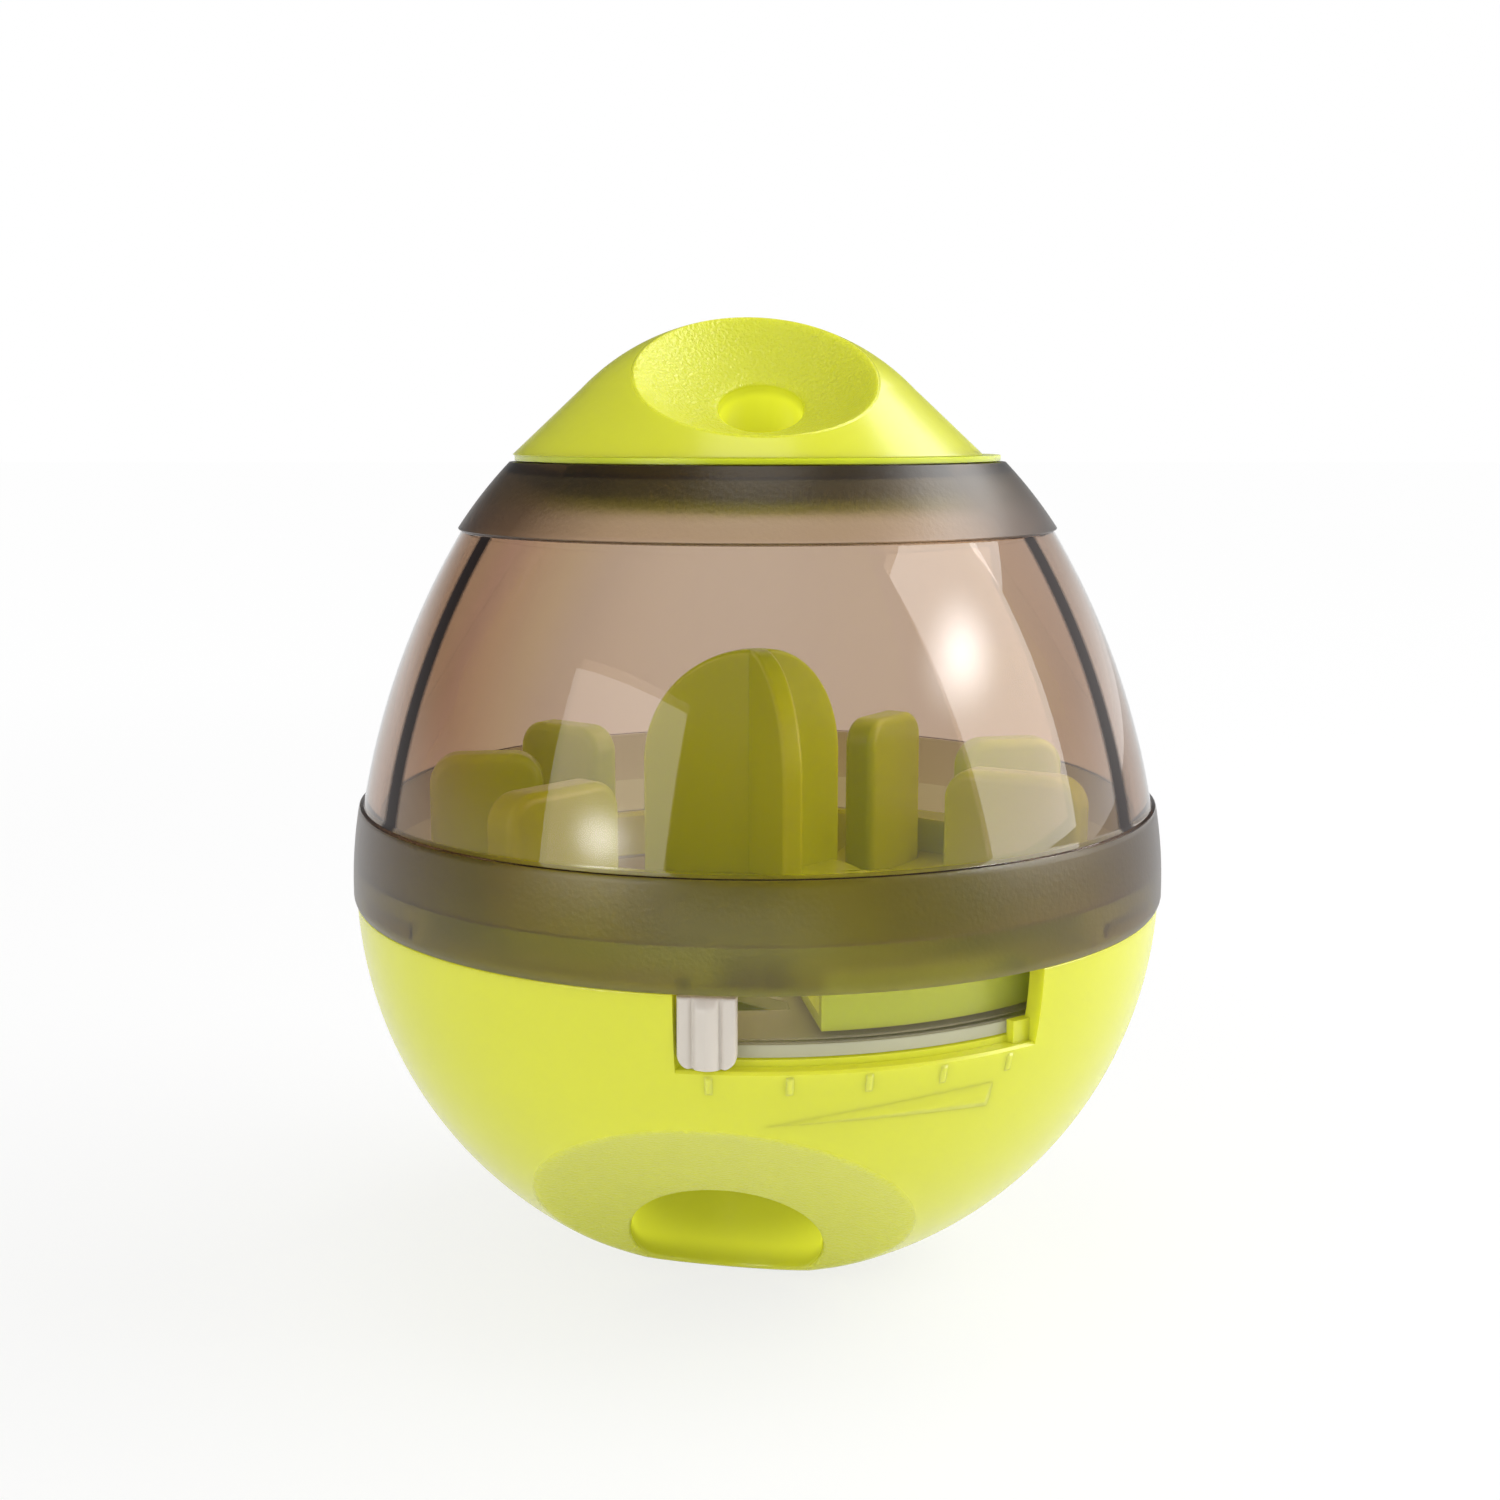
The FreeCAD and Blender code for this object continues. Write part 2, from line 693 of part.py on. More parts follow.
def make_chute_screws():
    """Two screws that hold the sloping floor and the ballast to the bowl's posts."""
    shapes = []
    for side in ("-", ""):
        name = "chute_screw_left" if side else "chute_screw_right"
        screw = new_body(name)
        make_screw(screw, "Screw", side + "post_across", "post_back",
                   "boss_seat", "boss_seat + screw_head_height",
                   "weight_top - screw_bite + fit_gap")
        shapes.append(screw)
    group = doc.addObject("Part::Compound", "chute_screws")
    group.Links = shapes
    group.Label = "chute_screws"
    return group


def polar(radius, azimuth):
    """x and y formulas of a point at a radius and an azimuth."""
    return ("(%s) * sin(%s)" % (radius, azimuth), "-(%s) * cos(%s)" % (radius, azimuth))


def make_gate():
    """Smoked tray that turns on the maze's hub; its tapering window meters the treats."""
    gate = new_body("gate")
    revolve(gate, "Tray", [
        ("hub_radius + hub_gap", "gate_low"),
        ("gate_radius", "gate_low"),
        ("gate_radius", "gate_top"),
        ("gate_wall_radius", "gate_top"),
        ("gate_wall_radius", "gate_wall_top"),
        ("gate_wall_inner", "gate_wall_top"),
        ("gate_wall_inner", "gate_top"),
        ("hub_radius + hub_gap", "gate_top"),
    ])
    window = new_sketch(gate, "Window_outline", role="XY_Plane", lift="gate_low")
    draw(window, [
        polar("window_wide_in", "window_start"),
        polar("window_wide_out", "window_start") + ("window_wide_out", 1),
        polar("window_wide_out", "window_start + window_wide_span"),
        polar("window_narrow_out", "window_end"),
        polar("window_narrow_in", "window_end"),
    ])
    pad(gate, window, "Window", "gate_floor", cut=True)
    tenon = new_sketch(gate, "TenonSocket_outline", azimuth="knob_middle")
    draw(tenon, [
        ("gate_wall_inner - gate_wall", "seam - tenon_top - tenon_height - fit_gap"),
        ("gate_radius + gate_wall", "seam - tenon_top - tenon_height - fit_gap"),
        ("gate_radius + gate_wall", "seam - tenon_top + fit_gap"),
        ("gate_wall_inner - gate_wall", "seam - tenon_top + fit_gap"),
    ])
    pad(gate, tenon, "TenonSocket", "tenon_width + 2 * fit_gap", middle=True, cut=True)
    return gate


def make_knob():
    """Selector knob: a finger grip with a rib between two grooves, on a tenon in the gate."""
    grip = new_body("knob_grip")
    low = "seam - knob_top - knob_height"
    high = "seam - knob_top"
    half = "knob_width / 2"
    outline = new_sketch(grip, "Grip_outline", role="XY_Plane", lift=low)
    bulge = "knob_face"
    draw(outline, [
        ("-%s" % half, "-knob_back"),
        ("-%s" % half, "-sqrt(knob_face^2 - knob_width^2 / 4)", bulge, 1),
        (half, "-sqrt(knob_face^2 - knob_width^2 / 4)"),
        (half, "-knob_back"),
    ])
    pad(grip, outline, "Grip", "knob_height")
    drum(grip, "Rib", "0", "-(knob_face + rib_proud - rib_radius)", low, high, "rib_radius")
    for place_of, offset in (("Left", "-flute_out"), ("Right", "flute_out")):
        last = drum(grip, "Flute" + place_of, offset,
                    "-(knob_face + flute_radius - flute_depth)", low, high,
                    "flute_radius", cut=True)
    side_x, foot_z = reckon(half), reckon(low)

    def is_lower_corner(edge):
        middle = edge.CenterOfMass
        return abs(abs(middle.x) / side_x - 1) < 1e-3 and abs(middle.z / foot_z - 1) < 1e-3

    round_edges(grip, last, "RoundCorners", "knob_corner", is_lower_corner)
    tenon = new_body("knob_tenon")
    core = new_sketch(tenon, "Tenon_outline", role="XY_Plane",
                      lift="seam - tenon_top - tenon_height")
    draw(core, [
        ("-tenon_width / 2", "-gate_wall_inner"),
        ("-tenon_width / 2", "-knob_back - flute_radius"),
        ("tenon_width / 2", "-knob_back - flute_radius"),
        ("tenon_width / 2", "-gate_wall_inner"),
    ])
    pad(tenon, core, "Tenon", "tenon_height")
    knob = fuse_all("knob", [grip, tenon])
    rule = "placement(vector(0; 0; 0); rotation(vector(0; 0; 1); knob_middle))"
    knob.setExpression("Placement", bound(rule))
    return knob


def make_maze_plate():
    """Green tray that hangs on the bowl's rim, with a hub, two windows and six fins."""
    tray = new_body("maze_tray")
    revolve(tray, "Tray", [
        ("spigot_radius + fit_gap", "hub_low"),
        ("hub_radius", "hub_low"),
        ("hub_radius", "maze_low"),
        ("maze_wall_radius", "maze_low"),
        ("maze_wall_radius", "seam"),
        ("flange_radius", "seam"),
        ("flange_radius", "flange_top"),
        ("maze_wall_inner", "flange_top"),
        ("maze_wall_inner", "maze_top"),
        ("spigot_radius + fit_gap", "maze_top"),
    ])
    beyond = "flange_radius + run_gap"
    depth = ("maze_low - run_gap", "flange_top + run_gap")
    sector(tray, "FeedWindow", ("feed_inner", beyond), depth, "feed_start",
           "feed_end - feed_start", cut=True)
    sector(tray, "BackWindow", ("back_inner", beyond), depth,
           "back_middle - back_span / 2", "back_span", cut=True)
    flange = ("seam - run_gap", "flange_top + run_gap")
    sector(tray, "SlotNotch", ("maze_wall_radius", beyond), flange, "slot_start",
           "slot_end - slot_start", cut=True)
    notch = sector(tray, "TabNotch", ("tab_radius - tab_wall - run_gap", beyond), flange,
                   "lock_first - tab_span / 2 - tab_stop_span - lock_play",
                   "tab_span + tab_stop_span + 2 * lock_play", cut=True)
    around(tray, "TabNotches", [notch])
    peg = drum(tray, "Peg", *polar("peg_circle", "vane_first + peg_turn"), "maze_top",
               "maze_top + peg_height", "peg_radius")
    around(tray, "Pegs", [peg])
    return fuse_all("maze_plate", [tray] + make_fins())


def make_fins():
    """Six upright radial fins in three pairs, mirrored about the maze's middle line."""
    fins = []
    for pair, name in enumerate(("front", "side", "back")):
        for side in (-1, 1):
            azimuth = "fin_middle + %d * (fin_first + %d * fin_step)" % (side, pair)
            fins.append(make_fin("fin_%d" % (len(fins) + 1), azimuth, "fin_inner_" + name,
                                 "fin_reach_" + name))
    return fins


def make_fin(label, azimuth, inner, reach):
    """One fin: a slab with rounded top corners and softened edges."""
    fin = new_body(label)
    low = "maze_low + maze_floor / 2"
    top = "seam + fin_top"
    outline = new_sketch(fin, "Fin_outline", azimuth=azimuth)
    draw(outline, [
        (inner, low),
        (reach, low),
        (reach, top + " - fin_corner", "fin_corner", 1),
        (reach + " - fin_corner", top),
        (inner + " + fin_corner", top, "fin_corner", 1),
        (inner, top + " - fin_corner"),
    ])
    slab = pad(fin, outline, "Slab", "fin_thick", middle=True)
    base = reckon(low)
    half = reckon("fin_thick") / 2
    direction = math.radians(reckon(azimuth) - 90)
    across = FreeCAD.Vector(-math.sin(direction), math.cos(direction), 0)

    def is_rim(edge):
        middle = edge.CenterOfMass
        on_side = abs(abs(middle.dot(across)) / half - 1) < 1e-3
        return on_side and middle.z > base + half / 20

    round_edges(fin, slab, "SoftEdges", "fin_edge", is_rim)
    return fin


def make_centre_tower():
    """Tower: a low drum with three arched vanes, a spigot for the hub and peg sockets."""
    tower = new_body("tower_drum")
    revolve(tower, "Drum", [
        ("0", "hub_low + fit_gap"),
        ("spigot_radius", "hub_low + fit_gap"),
        ("spigot_radius", "maze_top + fit_gap"),
        ("drum_radius", "maze_top + fit_gap"),
        ("drum_radius", "seam + drum_top - drum_round", "drum_round", 1),
        ("drum_radius - drum_round", "seam + drum_top"),
        ("0", "seam + drum_top"),
    ])
    socket = drum(tower, "PegSocket", *polar("peg_circle", "vane_first + peg_turn"),
                  "maze_top", "seam + drum_top + fit_gap", "peg_radius + fit_gap", cut=True)
    around(tower, "PegSockets", [socket])
    drum(tower, "ScrewBore", "0", "0", "hub_low", "hub_low + pivot_bite",
         "screw_radius", cut=True)
    vanes = []
    for number in range(3):
        vanes.append(make_vane("vane_%d" % (number + 1), "vane_first + %d" % (120 * number)))
    return fuse_all("centre_tower", [tower] + vanes)


def make_vane(label, azimuth):
    """One upright vane: a quarter arch from the axis out to the drum's edge."""
    vane = new_body(label)
    low = "seam + drum_top - drum_round - vane_thick / 2"
    outline = new_sketch(vane, "Vane_outline", azimuth=azimuth)
    draw(outline, [
        ("0", low),
        ("drum_radius", low),
        ("drum_radius", "vane_spring", "drum_radius", 1),
        ("0", "seam + vane_crown"),
    ])
    slab = pad(vane, outline, "Slab", "vane_thick", middle=True)
    base = reckon(low)
    half = reckon("vane_thick") / 2
    direction = math.radians(reckon(azimuth) - 90)
    outward = FreeCAD.Vector(math.cos(direction), math.sin(direction), 0)
    across = FreeCAD.Vector(-outward.y, outward.x, 0)

    def is_rim(edge):
        middle = edge.CenterOfMass
        on_side = abs(abs(middle.dot(across)) / half - 1) < 1e-3
        return on_side and middle.z > base + half / 20 and middle.dot(outward) > half / 20

    round_edges(vane, slab, "SoftEdges", "vane_edge", is_rim)
    return vane


def make_pivot():
    """Washer and screw under the gate; they clamp tower and maze and carry the gate."""
    washer = new_body("pivot_washer")
    revolve(washer, "Ring", [
        ("screw_radius + fit_gap", "washer_low"),
        ("washer_radius", "washer_low"),
        ("washer_radius", "hub_low"),
        ("screw_radius + fit_gap", "hub_low"),
    ])
    screw = new_body("pivot_screw")
    make_screw(screw, "Screw", "0", "0", "washer_low - screw_head_height", "washer_low",
               "hub_low + pivot_bite - fit_gap")
    return [washer, screw]


def make_dome():
    """Clear dome: frosted band, clear window and frosted collar, with lock lugs inside."""
    dome = new_body("dome")
    sleeve = "mouth_radius + mouth_wall"
    web_low = "seam + collar_top - mouth_web"
    revolve(dome, "Shell", [
        ("rebate_radius", "seam"),
        ("dome_foot", "seam", "band_low_round", 1),
        ("band_radius", "seam + band_low", "band_round", 1),
        ("band_top_radius", "seam + band_top"),
        ("window_low_radius", "seam + window_low", "window_round", 1),
        ("window_top_radius", "seam + window_top"),
        ("collar_low_radius", "seam + collar_low", "collar_round", 1),
        ("collar_top_radius", "seam + collar_top"),
        ("mouth_radius", "seam + collar_top"),
        ("mouth_radius", "seam + collar_top - mouth_depth"),
        (sleeve, "seam + collar_top - mouth_depth"),
        (sleeve, web_low),
        ("collar_top_radius", web_low),
        ("collar_low_radius - dome_wall", "seam + collar_low - dome_wall / 2",
         "window_round", -1),
        ("window_low_radius - dome_wall", "seam + window_low - dome_wall / 2"),
        ("rebate_radius - dome_wall / 2", "seam + rebate_top"),
        ("rebate_radius", "seam + rebate_top"),
    ])
    lug_low = "seam + flange_height + run_gap"
    lug = sector(dome, "Lug", ("lug_radius", "rebate_radius + dome_wall / 4"),
                 (lug_low, lug_low + " + lug_height"), "lock_first - lug_span / 2", "lug_span")
    around(dome, "Lugs", [lug])
    notch = sector(dome, "MouthNotch", ("mouth_radius - run_gap", "neck_radius + "
                                        "neck_lug_reach + run_gap"),
                   ("seam + collar_top - mouth_depth - run_gap", "seam + collar_top + run_gap"),
                   "lock_first - neck_notch_span / 2", "neck_notch_span", cut=True)
    around(dome, "MouthNotches", [notch])
    return dome


def make_lid_ring():
    """Lid ring: a flange on the collar, a neck with three bayonet lugs and a web."""
    ring = new_body("lid_ring")
    foot = "seam + neck_foot"
    inner = "neck_radius - neck_wall"
    revolve(ring, "Ring", [
        (inner, foot),
        ("neck_radius", foot),
        ("neck_radius", "lid_low"),
        ("lid_radius", "lid_low"),
        ("lid_radius", "lid_top"),
        ("web_radius", "lid_top"),
        ("web_radius", "lid_top - web_height"),
        (inner, "lid_top - web_height"),
    ])
    lug = sector(ring, "NeckLug", ("neck_radius - neck_wall / 2", "neck_radius + "
                                   "neck_lug_reach"),
                 (foot, foot + " + neck_lug_height"),
                 "lock_first + 60 - neck_lug_span / 2", "neck_lug_span")
    around(ring, "NeckLugs", [lug])
    hole = drum(ring, "PegHole", *polar("cap_peg_circle", "lock_first"),
                "lid_top - web_height - fit_gap", "lid_top + fit_gap",
                "cap_peg_radius + hub_gap", cut=True)
    around(ring, "PegHoles", [hole])
    return ring


def cap_profile(inset):
    """The cap's outline, drawn in by an inset: a cone flare under a round crown."""
    share = "(1 - (%s) / cap_crown_round)" % inset
    return [
        ("0", "lid_top"),
        ("cap_radius - (%s) * cap_slant" % inset, "lid_top"),
        ("cap_flare_radius * %s" % share,
         "cap_centre + (lid_top + cap_flare - cap_centre) * %s" % share,
         "cap_crown_round - (%s)" % inset, 1),
        ("0", "lid_top + cap_crown - (%s)" % inset),
    ]


def dish_ball(body, name, extra):
    """Scoop the cap's dish out of a body, or the back of the dish when grown by a wall."""
    return round_solid(body, "SubtractiveSphere", name, "dish_across",
                       "-dish_ball_forward", "dish_ball_height",
                       Radius="dish_round + %s" % extra)


def port_drum(body, name, radius, low, high, cut=False):
    """A cylinder on the filling port's axis, between two distances from the dish."""
    kind = "SubtractiveCylinder" if cut else "AdditiveCylinder"
    y = "-port_forward - (%s) * sin(port_tilt)" % low
    z = "port_height + (%s) * cos(port_tilt)" % low
    return round_solid(body, kind, name, "dish_across", y, z, ("1; 0; 0", "port_tilt"),
                       Radius=radius, Height="(%s) - (%s)" % (high, low))


def make_cap_shell():
    """Cap shell: a hollow crown with a tilted dish, a filling port and three pegs."""
    peg_at = polar("cap_peg_circle", "lock_first")
    outside = new_body("cap_outside")
    revolve(outside, "Crown", cap_profile("0"), shift="cap_shift")
    peg = drum(outside, "Peg", *peg_at, "lid_top - cap_peg_depth", "lid_top + cap_wall / 4",
               "cap_peg_radius")
    around(outside, "Pegs", [peg])
    port_drum(outside, "PortTube", "port_radius + port_wall", "-port_length", "0")
    dish_ball(outside, "Dish", "0")
    bore = port_drum(outside, "PortBore", "port_radius", "-port_length - port_wall",
                     "dish_radius", cut=True)
    round_edges(outside, bore, "PortLip", "port_lip",
                rim_of(bore, "port_radius", "port_height - port_wall",
                       "lid_top + cap_crown"))

    inside = new_body("cap_inside")
    revolve(inside, "Hollow", cap_profile("cap_wall"), shift="cap_shift")
    dish_ball(inside, "DishBack", "cap_wall")
    port_drum(inside, "TubeRoom", "port_radius + port_wall", "-port_length",
              "dish_radius", cut=True)
    post = drum(inside, "PegRoom", *peg_at, "lid_top - cap_wall", "lid_top + cap_crown",
                "cap_peg_radius", cut=True)
    around(inside, "PegRooms", [post])
    return join("Cut", "cap_shell", outside, inside)


def check(parts):
    """Stop if any object failed or any part is empty or broken."""
    doc.recompute()
    for thing in doc.Objects:
        if "Invalid" in thing.State or "Error" in thing.State:
            raise RuntimeError("%s failed: %s" % (thing.Label, thing.State))
    for part in parts:
        if part.Shape.isNull() or not part.Shape.isValid():
            raise RuntimeError("%s has no sound shape" % part.Label)


def export(parts):
    """Write each part to its own file, named after it."""
    os.makedirs("parts", exist_ok=True)
    for part in parts:
        part.Shape.exportStep("parts/%s.step" % part.Label)


fill_sheet()
parts = [
    make_bowl(),
    make_counterweight(),
    make_chute_floor(),
    make_chute_screws(),
    make_gate(),
    make_knob(),
    make_maze_plate(),
    make_centre_tower(),
    *make_pivot(),
    make_dome(),
    make_lid_ring(),
    make_cap_shell(),
]
check(parts)
export(parts)
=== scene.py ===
"""Looks of the wobble treat dispenser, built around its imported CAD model."""

import math

import bpy
import numpy as np
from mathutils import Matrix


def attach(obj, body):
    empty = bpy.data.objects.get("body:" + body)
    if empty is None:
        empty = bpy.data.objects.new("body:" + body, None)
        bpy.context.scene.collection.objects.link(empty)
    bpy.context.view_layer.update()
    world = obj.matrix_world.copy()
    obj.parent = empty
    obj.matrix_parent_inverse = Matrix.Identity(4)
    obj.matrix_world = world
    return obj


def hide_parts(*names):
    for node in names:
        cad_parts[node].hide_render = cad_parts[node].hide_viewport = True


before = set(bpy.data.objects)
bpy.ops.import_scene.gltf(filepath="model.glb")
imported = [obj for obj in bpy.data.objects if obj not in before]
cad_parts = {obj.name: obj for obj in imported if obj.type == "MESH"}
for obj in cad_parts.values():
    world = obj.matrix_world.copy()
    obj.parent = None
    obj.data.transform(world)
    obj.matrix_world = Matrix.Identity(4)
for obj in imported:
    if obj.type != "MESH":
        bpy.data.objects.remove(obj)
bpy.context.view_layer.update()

# Sizes in millimetres and degrees, after the part's source. Azimuth 0 is the front, -Y.

# The ball, its flat foot, and the seam where the dome meets it
BALL = 54.6
FOOT = 7.0
BALL_HEIGHT = math.sqrt(BALL ** 2 - FOOT ** 2)
RIM_DROP = 2.05
SEAM = BALL_HEIGHT - RIM_DROP
BOWL_INNER = 52.3
RIM_INNER = math.sqrt(BOWL_INNER ** 2 - RIM_DROP ** 2)

# Scoop, exit tunnel, and the sloping floor over the tunnel
SCOOP_TILT, SCOOP_SWING, SCOOP_RADIUS, SCOOP_DEPTH, SCOOP_WALL = 43.5, -7.4, 23.5, 2.5, 2.0
EXIT_TILT, EXIT_SWING, EXIT_RADIUS, EXIT_WALL, EXIT_LIP = 40.0, -7.4, 12.6, 2.0, 0.8
EXIT_AT_TILT, EXIT_AT_SWING, EXIT_AT = 27.8, -10.1, BALL - 3.8
FLOOR_AXIS = (-3.0, -16.83)
FLOOR_LOW, FLOOR_START, FLOOR_SLOPE = 11.8, 12.0, 18.0

# Slot, the stop at its end, the rail inside it, and the top of the gate's floor
SLOT_START, SLOT_END, SLOT_FLOOR, SLOT_BACK = -10.3, 38.0, SEAM - 9.3, 48.9
SLOT_LIP, SLOT_FRONT, SLOT_BEVEL = 53.0, 56.5, 3.5
STOP_FRONT, STOP_SPAN, STOP_HIGH, STOP_DEEP = 52.3, 2.8, 2.7, 1.2
RAIL_INNER, RAIL_OUTER, RAIL_TOP, RAIL_DEEP, RAIL_OVERLAP = 49.2, 51.2, SEAM - 8.5, 1.8, 3.0
GATE_TOP = SEAM - 6.8

# Lock tab, scale marks and wedge; the marks' and the wedge's heights count from the seam
TAB_START, TAB_END, TAB_STOP, TAB_WALL = 51.0, 69.0, 49.0, 1.2
TAB_ROOT, TAB_LIP_LOW, TAB_TOP, TAB_LIP = SEAM - 5.0, SEAM + 3.0, SEAM + 4.4, 0.8
MARK_FIRST, MARK_SPAN, MARK_TOP, MARK_LENGTH, MARK_PROUD = -6.2, 1.1, -9.9, 2.4, 0.3
MARK_COUNT, MARK_STEP = 5, 10
WEDGE_START, WEDGE_SPAN, WEDGE_POINT, WEDGE_PROUD = -3.4, 35.3, -17.0, 0.26
SUNK = -0.5

# Dome, its lugs, and the mouth for the lid; COLLAR_TOP counts from the seam
BAND_TOP, COLLAR_LOW, COLLAR_TOP = SEAM + 12.96, SEAM + 49.25, 58.1
WINDOW_ARC, WINDOW_ARC_MIDDLE, WINDOW_ARC_HEIGHT = 106.2, -51.1, SEAM - 6.1
LUG_COUNT, LUG_FIRST, LUG_SEAT, LUG_TIP, LUG_HALF = 3, 60, 53.6, 52.76, 8.5
MOUTH, NOTCH, NOTCH_HALF = 29.5, 30.9, 13

# Cap, its pegs, its dish and its port; its surface is drawn from CAP_HEART under the lid
LID_TOP = SEAM + COLLAR_TOP + 0.9
CAP_SHIFT, CAP_RADIUS, CAP_FLARE_RADIUS, CAP_FLARE = -1.3, 31.45, 21.6, 9.2
CAP_CROWN, CAP_CROWN_ROUND, CAP_WALL, CAP_HEART = 18.0, 31.0, 2.2, 30.0
PEG_CIRCLE, PEG_TIP, PEG_RADIUS = MOUTH - 5, 1.8, 2.0
DISH_ACROSS, DISH_FORWARD, DISH_HEIGHT, DISH_TILT = 0.4, 14.5, LID_TOP + 10.4, 28.2
DISH_RADIUS, DISH_DEPTH = 16.1, 6.65
PORT_TILT, PORT_RADIUS, PORT_WALL, PORT_LENGTH, PORT_LIP = 33.5, 5.4, 1.8, 7.3, 1.0

# Knob
KNOB_MIDDLE, KNOB_WIDTH, KNOB_HEIGHT, KNOB_TOP = -6.3, 6.8, 8.4, SEAM - 0.4
KNOB_FACE, KNOB_BACK, KNOB_CORNER, KNOB_EDGE = 54.19, 52.61, 1.6, 0.35
TENON_FRONT, TENON_BACK, TENON_TOP = 52.9, 49.35, SEAM - 1.6

# Points round the shells and rows of points over their parts
AROUND = 256
LIP_ROWS, DISH_ROWS, BODY_ROWS, INNER_ROWS, BORE_ROWS = 5, 18, 60, 25, 8

# Colours as the eye sees them, 0 to 255
# The deeper lime of the parts inside the dome is painted shade, for the light they lose under the
# smoked plastic.
# The paler lime of the raised marks is a painted highlight; they are moulded with the bowl.
LIME, SHADED_LIME, HIGHLIT_LIME = (218, 221, 60), (198, 212, 30), (226, 230, 82)
WARM_GREY, NYLON, ZINC, IRON = (212, 204, 193), (230, 230, 225), (190, 190, 192), (110, 108, 105)

# Shader colours, how fast the smoke darkens, and the place of the window's strain, where a painted
# iridescent sheen sits, in metres
WHITE, BLACK, SMOKE = (1, 1, 1, 1), (0, 0, 0, 1), (0.52, 0.29, 0.08, 1)
SMOKE_DENSITY = 320
STRAIN_SHEEN_AT = (-0.03, -0.031, (SEAM + 38) / 1000)


def unit(vectors):
    return vectors / np.linalg.norm(vectors, axis=-1, keepdims=True)


def turned_to(azimuth, radius, height):
    """Points at azimuths, radii and heights, which may be arrays of one shape."""
    angle = np.radians(azimuth)
    flat = np.zeros(np.broadcast(azimuth, radius, height).shape)
    return np.stack([radius * np.sin(angle) + flat, -radius * np.cos(angle) + flat,
                     height + flat], axis=-1)


def downward(tilt, swing):
    """The direction that far from straight down, swung to the front."""
    tilt, swing = math.radians(tilt), math.radians(swing)
    return np.array([math.sin(tilt) * math.sin(swing), -math.sin(tilt) * math.cos(swing),
                     -math.cos(tilt)])


def ring_about(axis, count):
    """Unit vectors that stand round an axis."""
    side = unit(np.cross(axis, [0.0, 0.0, 1.0]))
    other = np.cross(axis, side)
    turn = np.linspace(0, 2 * math.pi, count, endpoint=False)[:, None]
    return np.cos(turn) * side + np.sin(turn) * other


def leaning(tilt):
    """The direction that leans to the front by that much from straight up."""
    return np.array([0, -math.sin(math.radians(tilt)), math.cos(math.radians(tilt))])


def scoop_ball():
    """Middle and radius of the sphere that presses the scoop into the bowl."""
    radius = (SCOOP_RADIUS ** 2 + SCOOP_DEPTH ** 2) / (2 * SCOOP_DEPTH)
    reach = math.sqrt(BALL ** 2 - SCOOP_RADIUS ** 2) - SCOOP_DEPTH + radius
    return downward(SCOOP_TILT, SCOOP_SWING) * reach + (0, 0, BALL_HEIGHT), radius


def dish_ball():
    """Middle and radius of the sphere that presses the dish into the cap."""
    radius = (DISH_RADIUS ** 2 + DISH_DEPTH ** 2) / (2 * DISH_DEPTH)
    rim = np.array([DISH_ACROSS, -DISH_FORWARD, DISH_HEIGHT])
    return rim + leaning(DISH_TILT) * (radius - DISH_DEPTH), radius


def near_side(directions, middle, radius):
    """Distance along directions to the near side of a sphere, or far off where it's missed."""
    along = directions @ middle
    room = along ** 2 - middle @ middle + radius ** 2
    hit = along - np.sqrt(np.maximum(room, 0))
    return np.where((room > 0) & (along > 0), hit, 1000.0)


def far_side(directions, middle, radius):
    along = directions @ middle
    return along + np.sqrt(along ** 2 - middle @ middle + radius ** 2)


def soft_least(a, b, width):
    """The lesser of two distances, rounded where they cross."""
    share = np.clip(0.5 + 0.5 * (b - a) / width, 0, 1)
    return b * (1 - share) + a * share - width * share * (1 - share)


def first_change(value_at, low, high, steps=240):
    """For each column, the first angle between two limits where a value changes sign."""
    angles = low + (high - low) * np.linspace(0, 1, steps)[:, None]
    signs = np.sign([value_at(row) for row in angles])
    first = np.argmax(signs[1:] != signs[:-1], axis=0)
    columns = np.arange(angles.shape[1])
    low, high = angles[first, columns], angles[first + 1, columns]
    start = np.sign(value_at(low))
    for _ in range(30):
        middle = (low + high) / 2
        same = np.sign(value_at(middle)) == start
        low, high = np.where(same, middle, low), np.where(same, high, middle)
    return (low + high) / 2


def rounded(start, corner, end, count=LIP_ROWS):
    """Points round a corner, from one side to the other."""
    share = np.linspace(0, 1, count)[:, None, None]
    return (1 - share) ** 2 * start + 2 * share * (1 - share) * corner + share ** 2 * end


def arc(start, end, radius, count, side=1):
    """Points on an arc between two profile points (radius, height), without its end."""
    start, end = np.array(start, float), np.array(end, float)
    half = (end - start) / 2
    length = np.hypot(*half)
    inward = side * np.array([-half[1], half[0]]) / length
    middle = (start + end) / 2 + inward * math.sqrt(radius ** 2 - length ** 2)
    first, last = start - middle, end - middle
    turn = math.atan2(first[0] * last[1] - first[1] * last[0], first @ last)
    angles = np.linspace(0, turn, count, endpoint=False)
    return [tuple(middle + [first[0] * math.cos(a) - first[1] * math.sin(a),
                            first[0] * math.sin(a) + first[1] * math.cos(a)]) for a in angles]


def skin(rows, loop=True):
    """Points and quads of a tube skinned over rings. A looped one closes on itself."""
    rows = np.asarray(rows)
    count, around = rows.shape[:2]
    down = np.arange(count if loop else count - 1)
    index = np.arange(count * around).reshape(count, around)
    below = index[(down + 1) % count]
    here = index[down]
    quads = np.stack([here, np.roll(here, -1, 1), np.roll(below, -1, 1), below], axis=-1)
    return rows.reshape(-1, 3), [tuple(quad) for quad in quads.reshape(-1, 4)]


def capped(rows):
    """A skinned tube with both its ends closed by a fan."""
    rows = np.asarray(rows)
    points, faces = skin(rows, loop=False)
    around = rows.shape[1]
    last = len(points) - around
    faces += [tuple(range(around))[::-1], tuple(range(last, last + around))]
    return points, faces


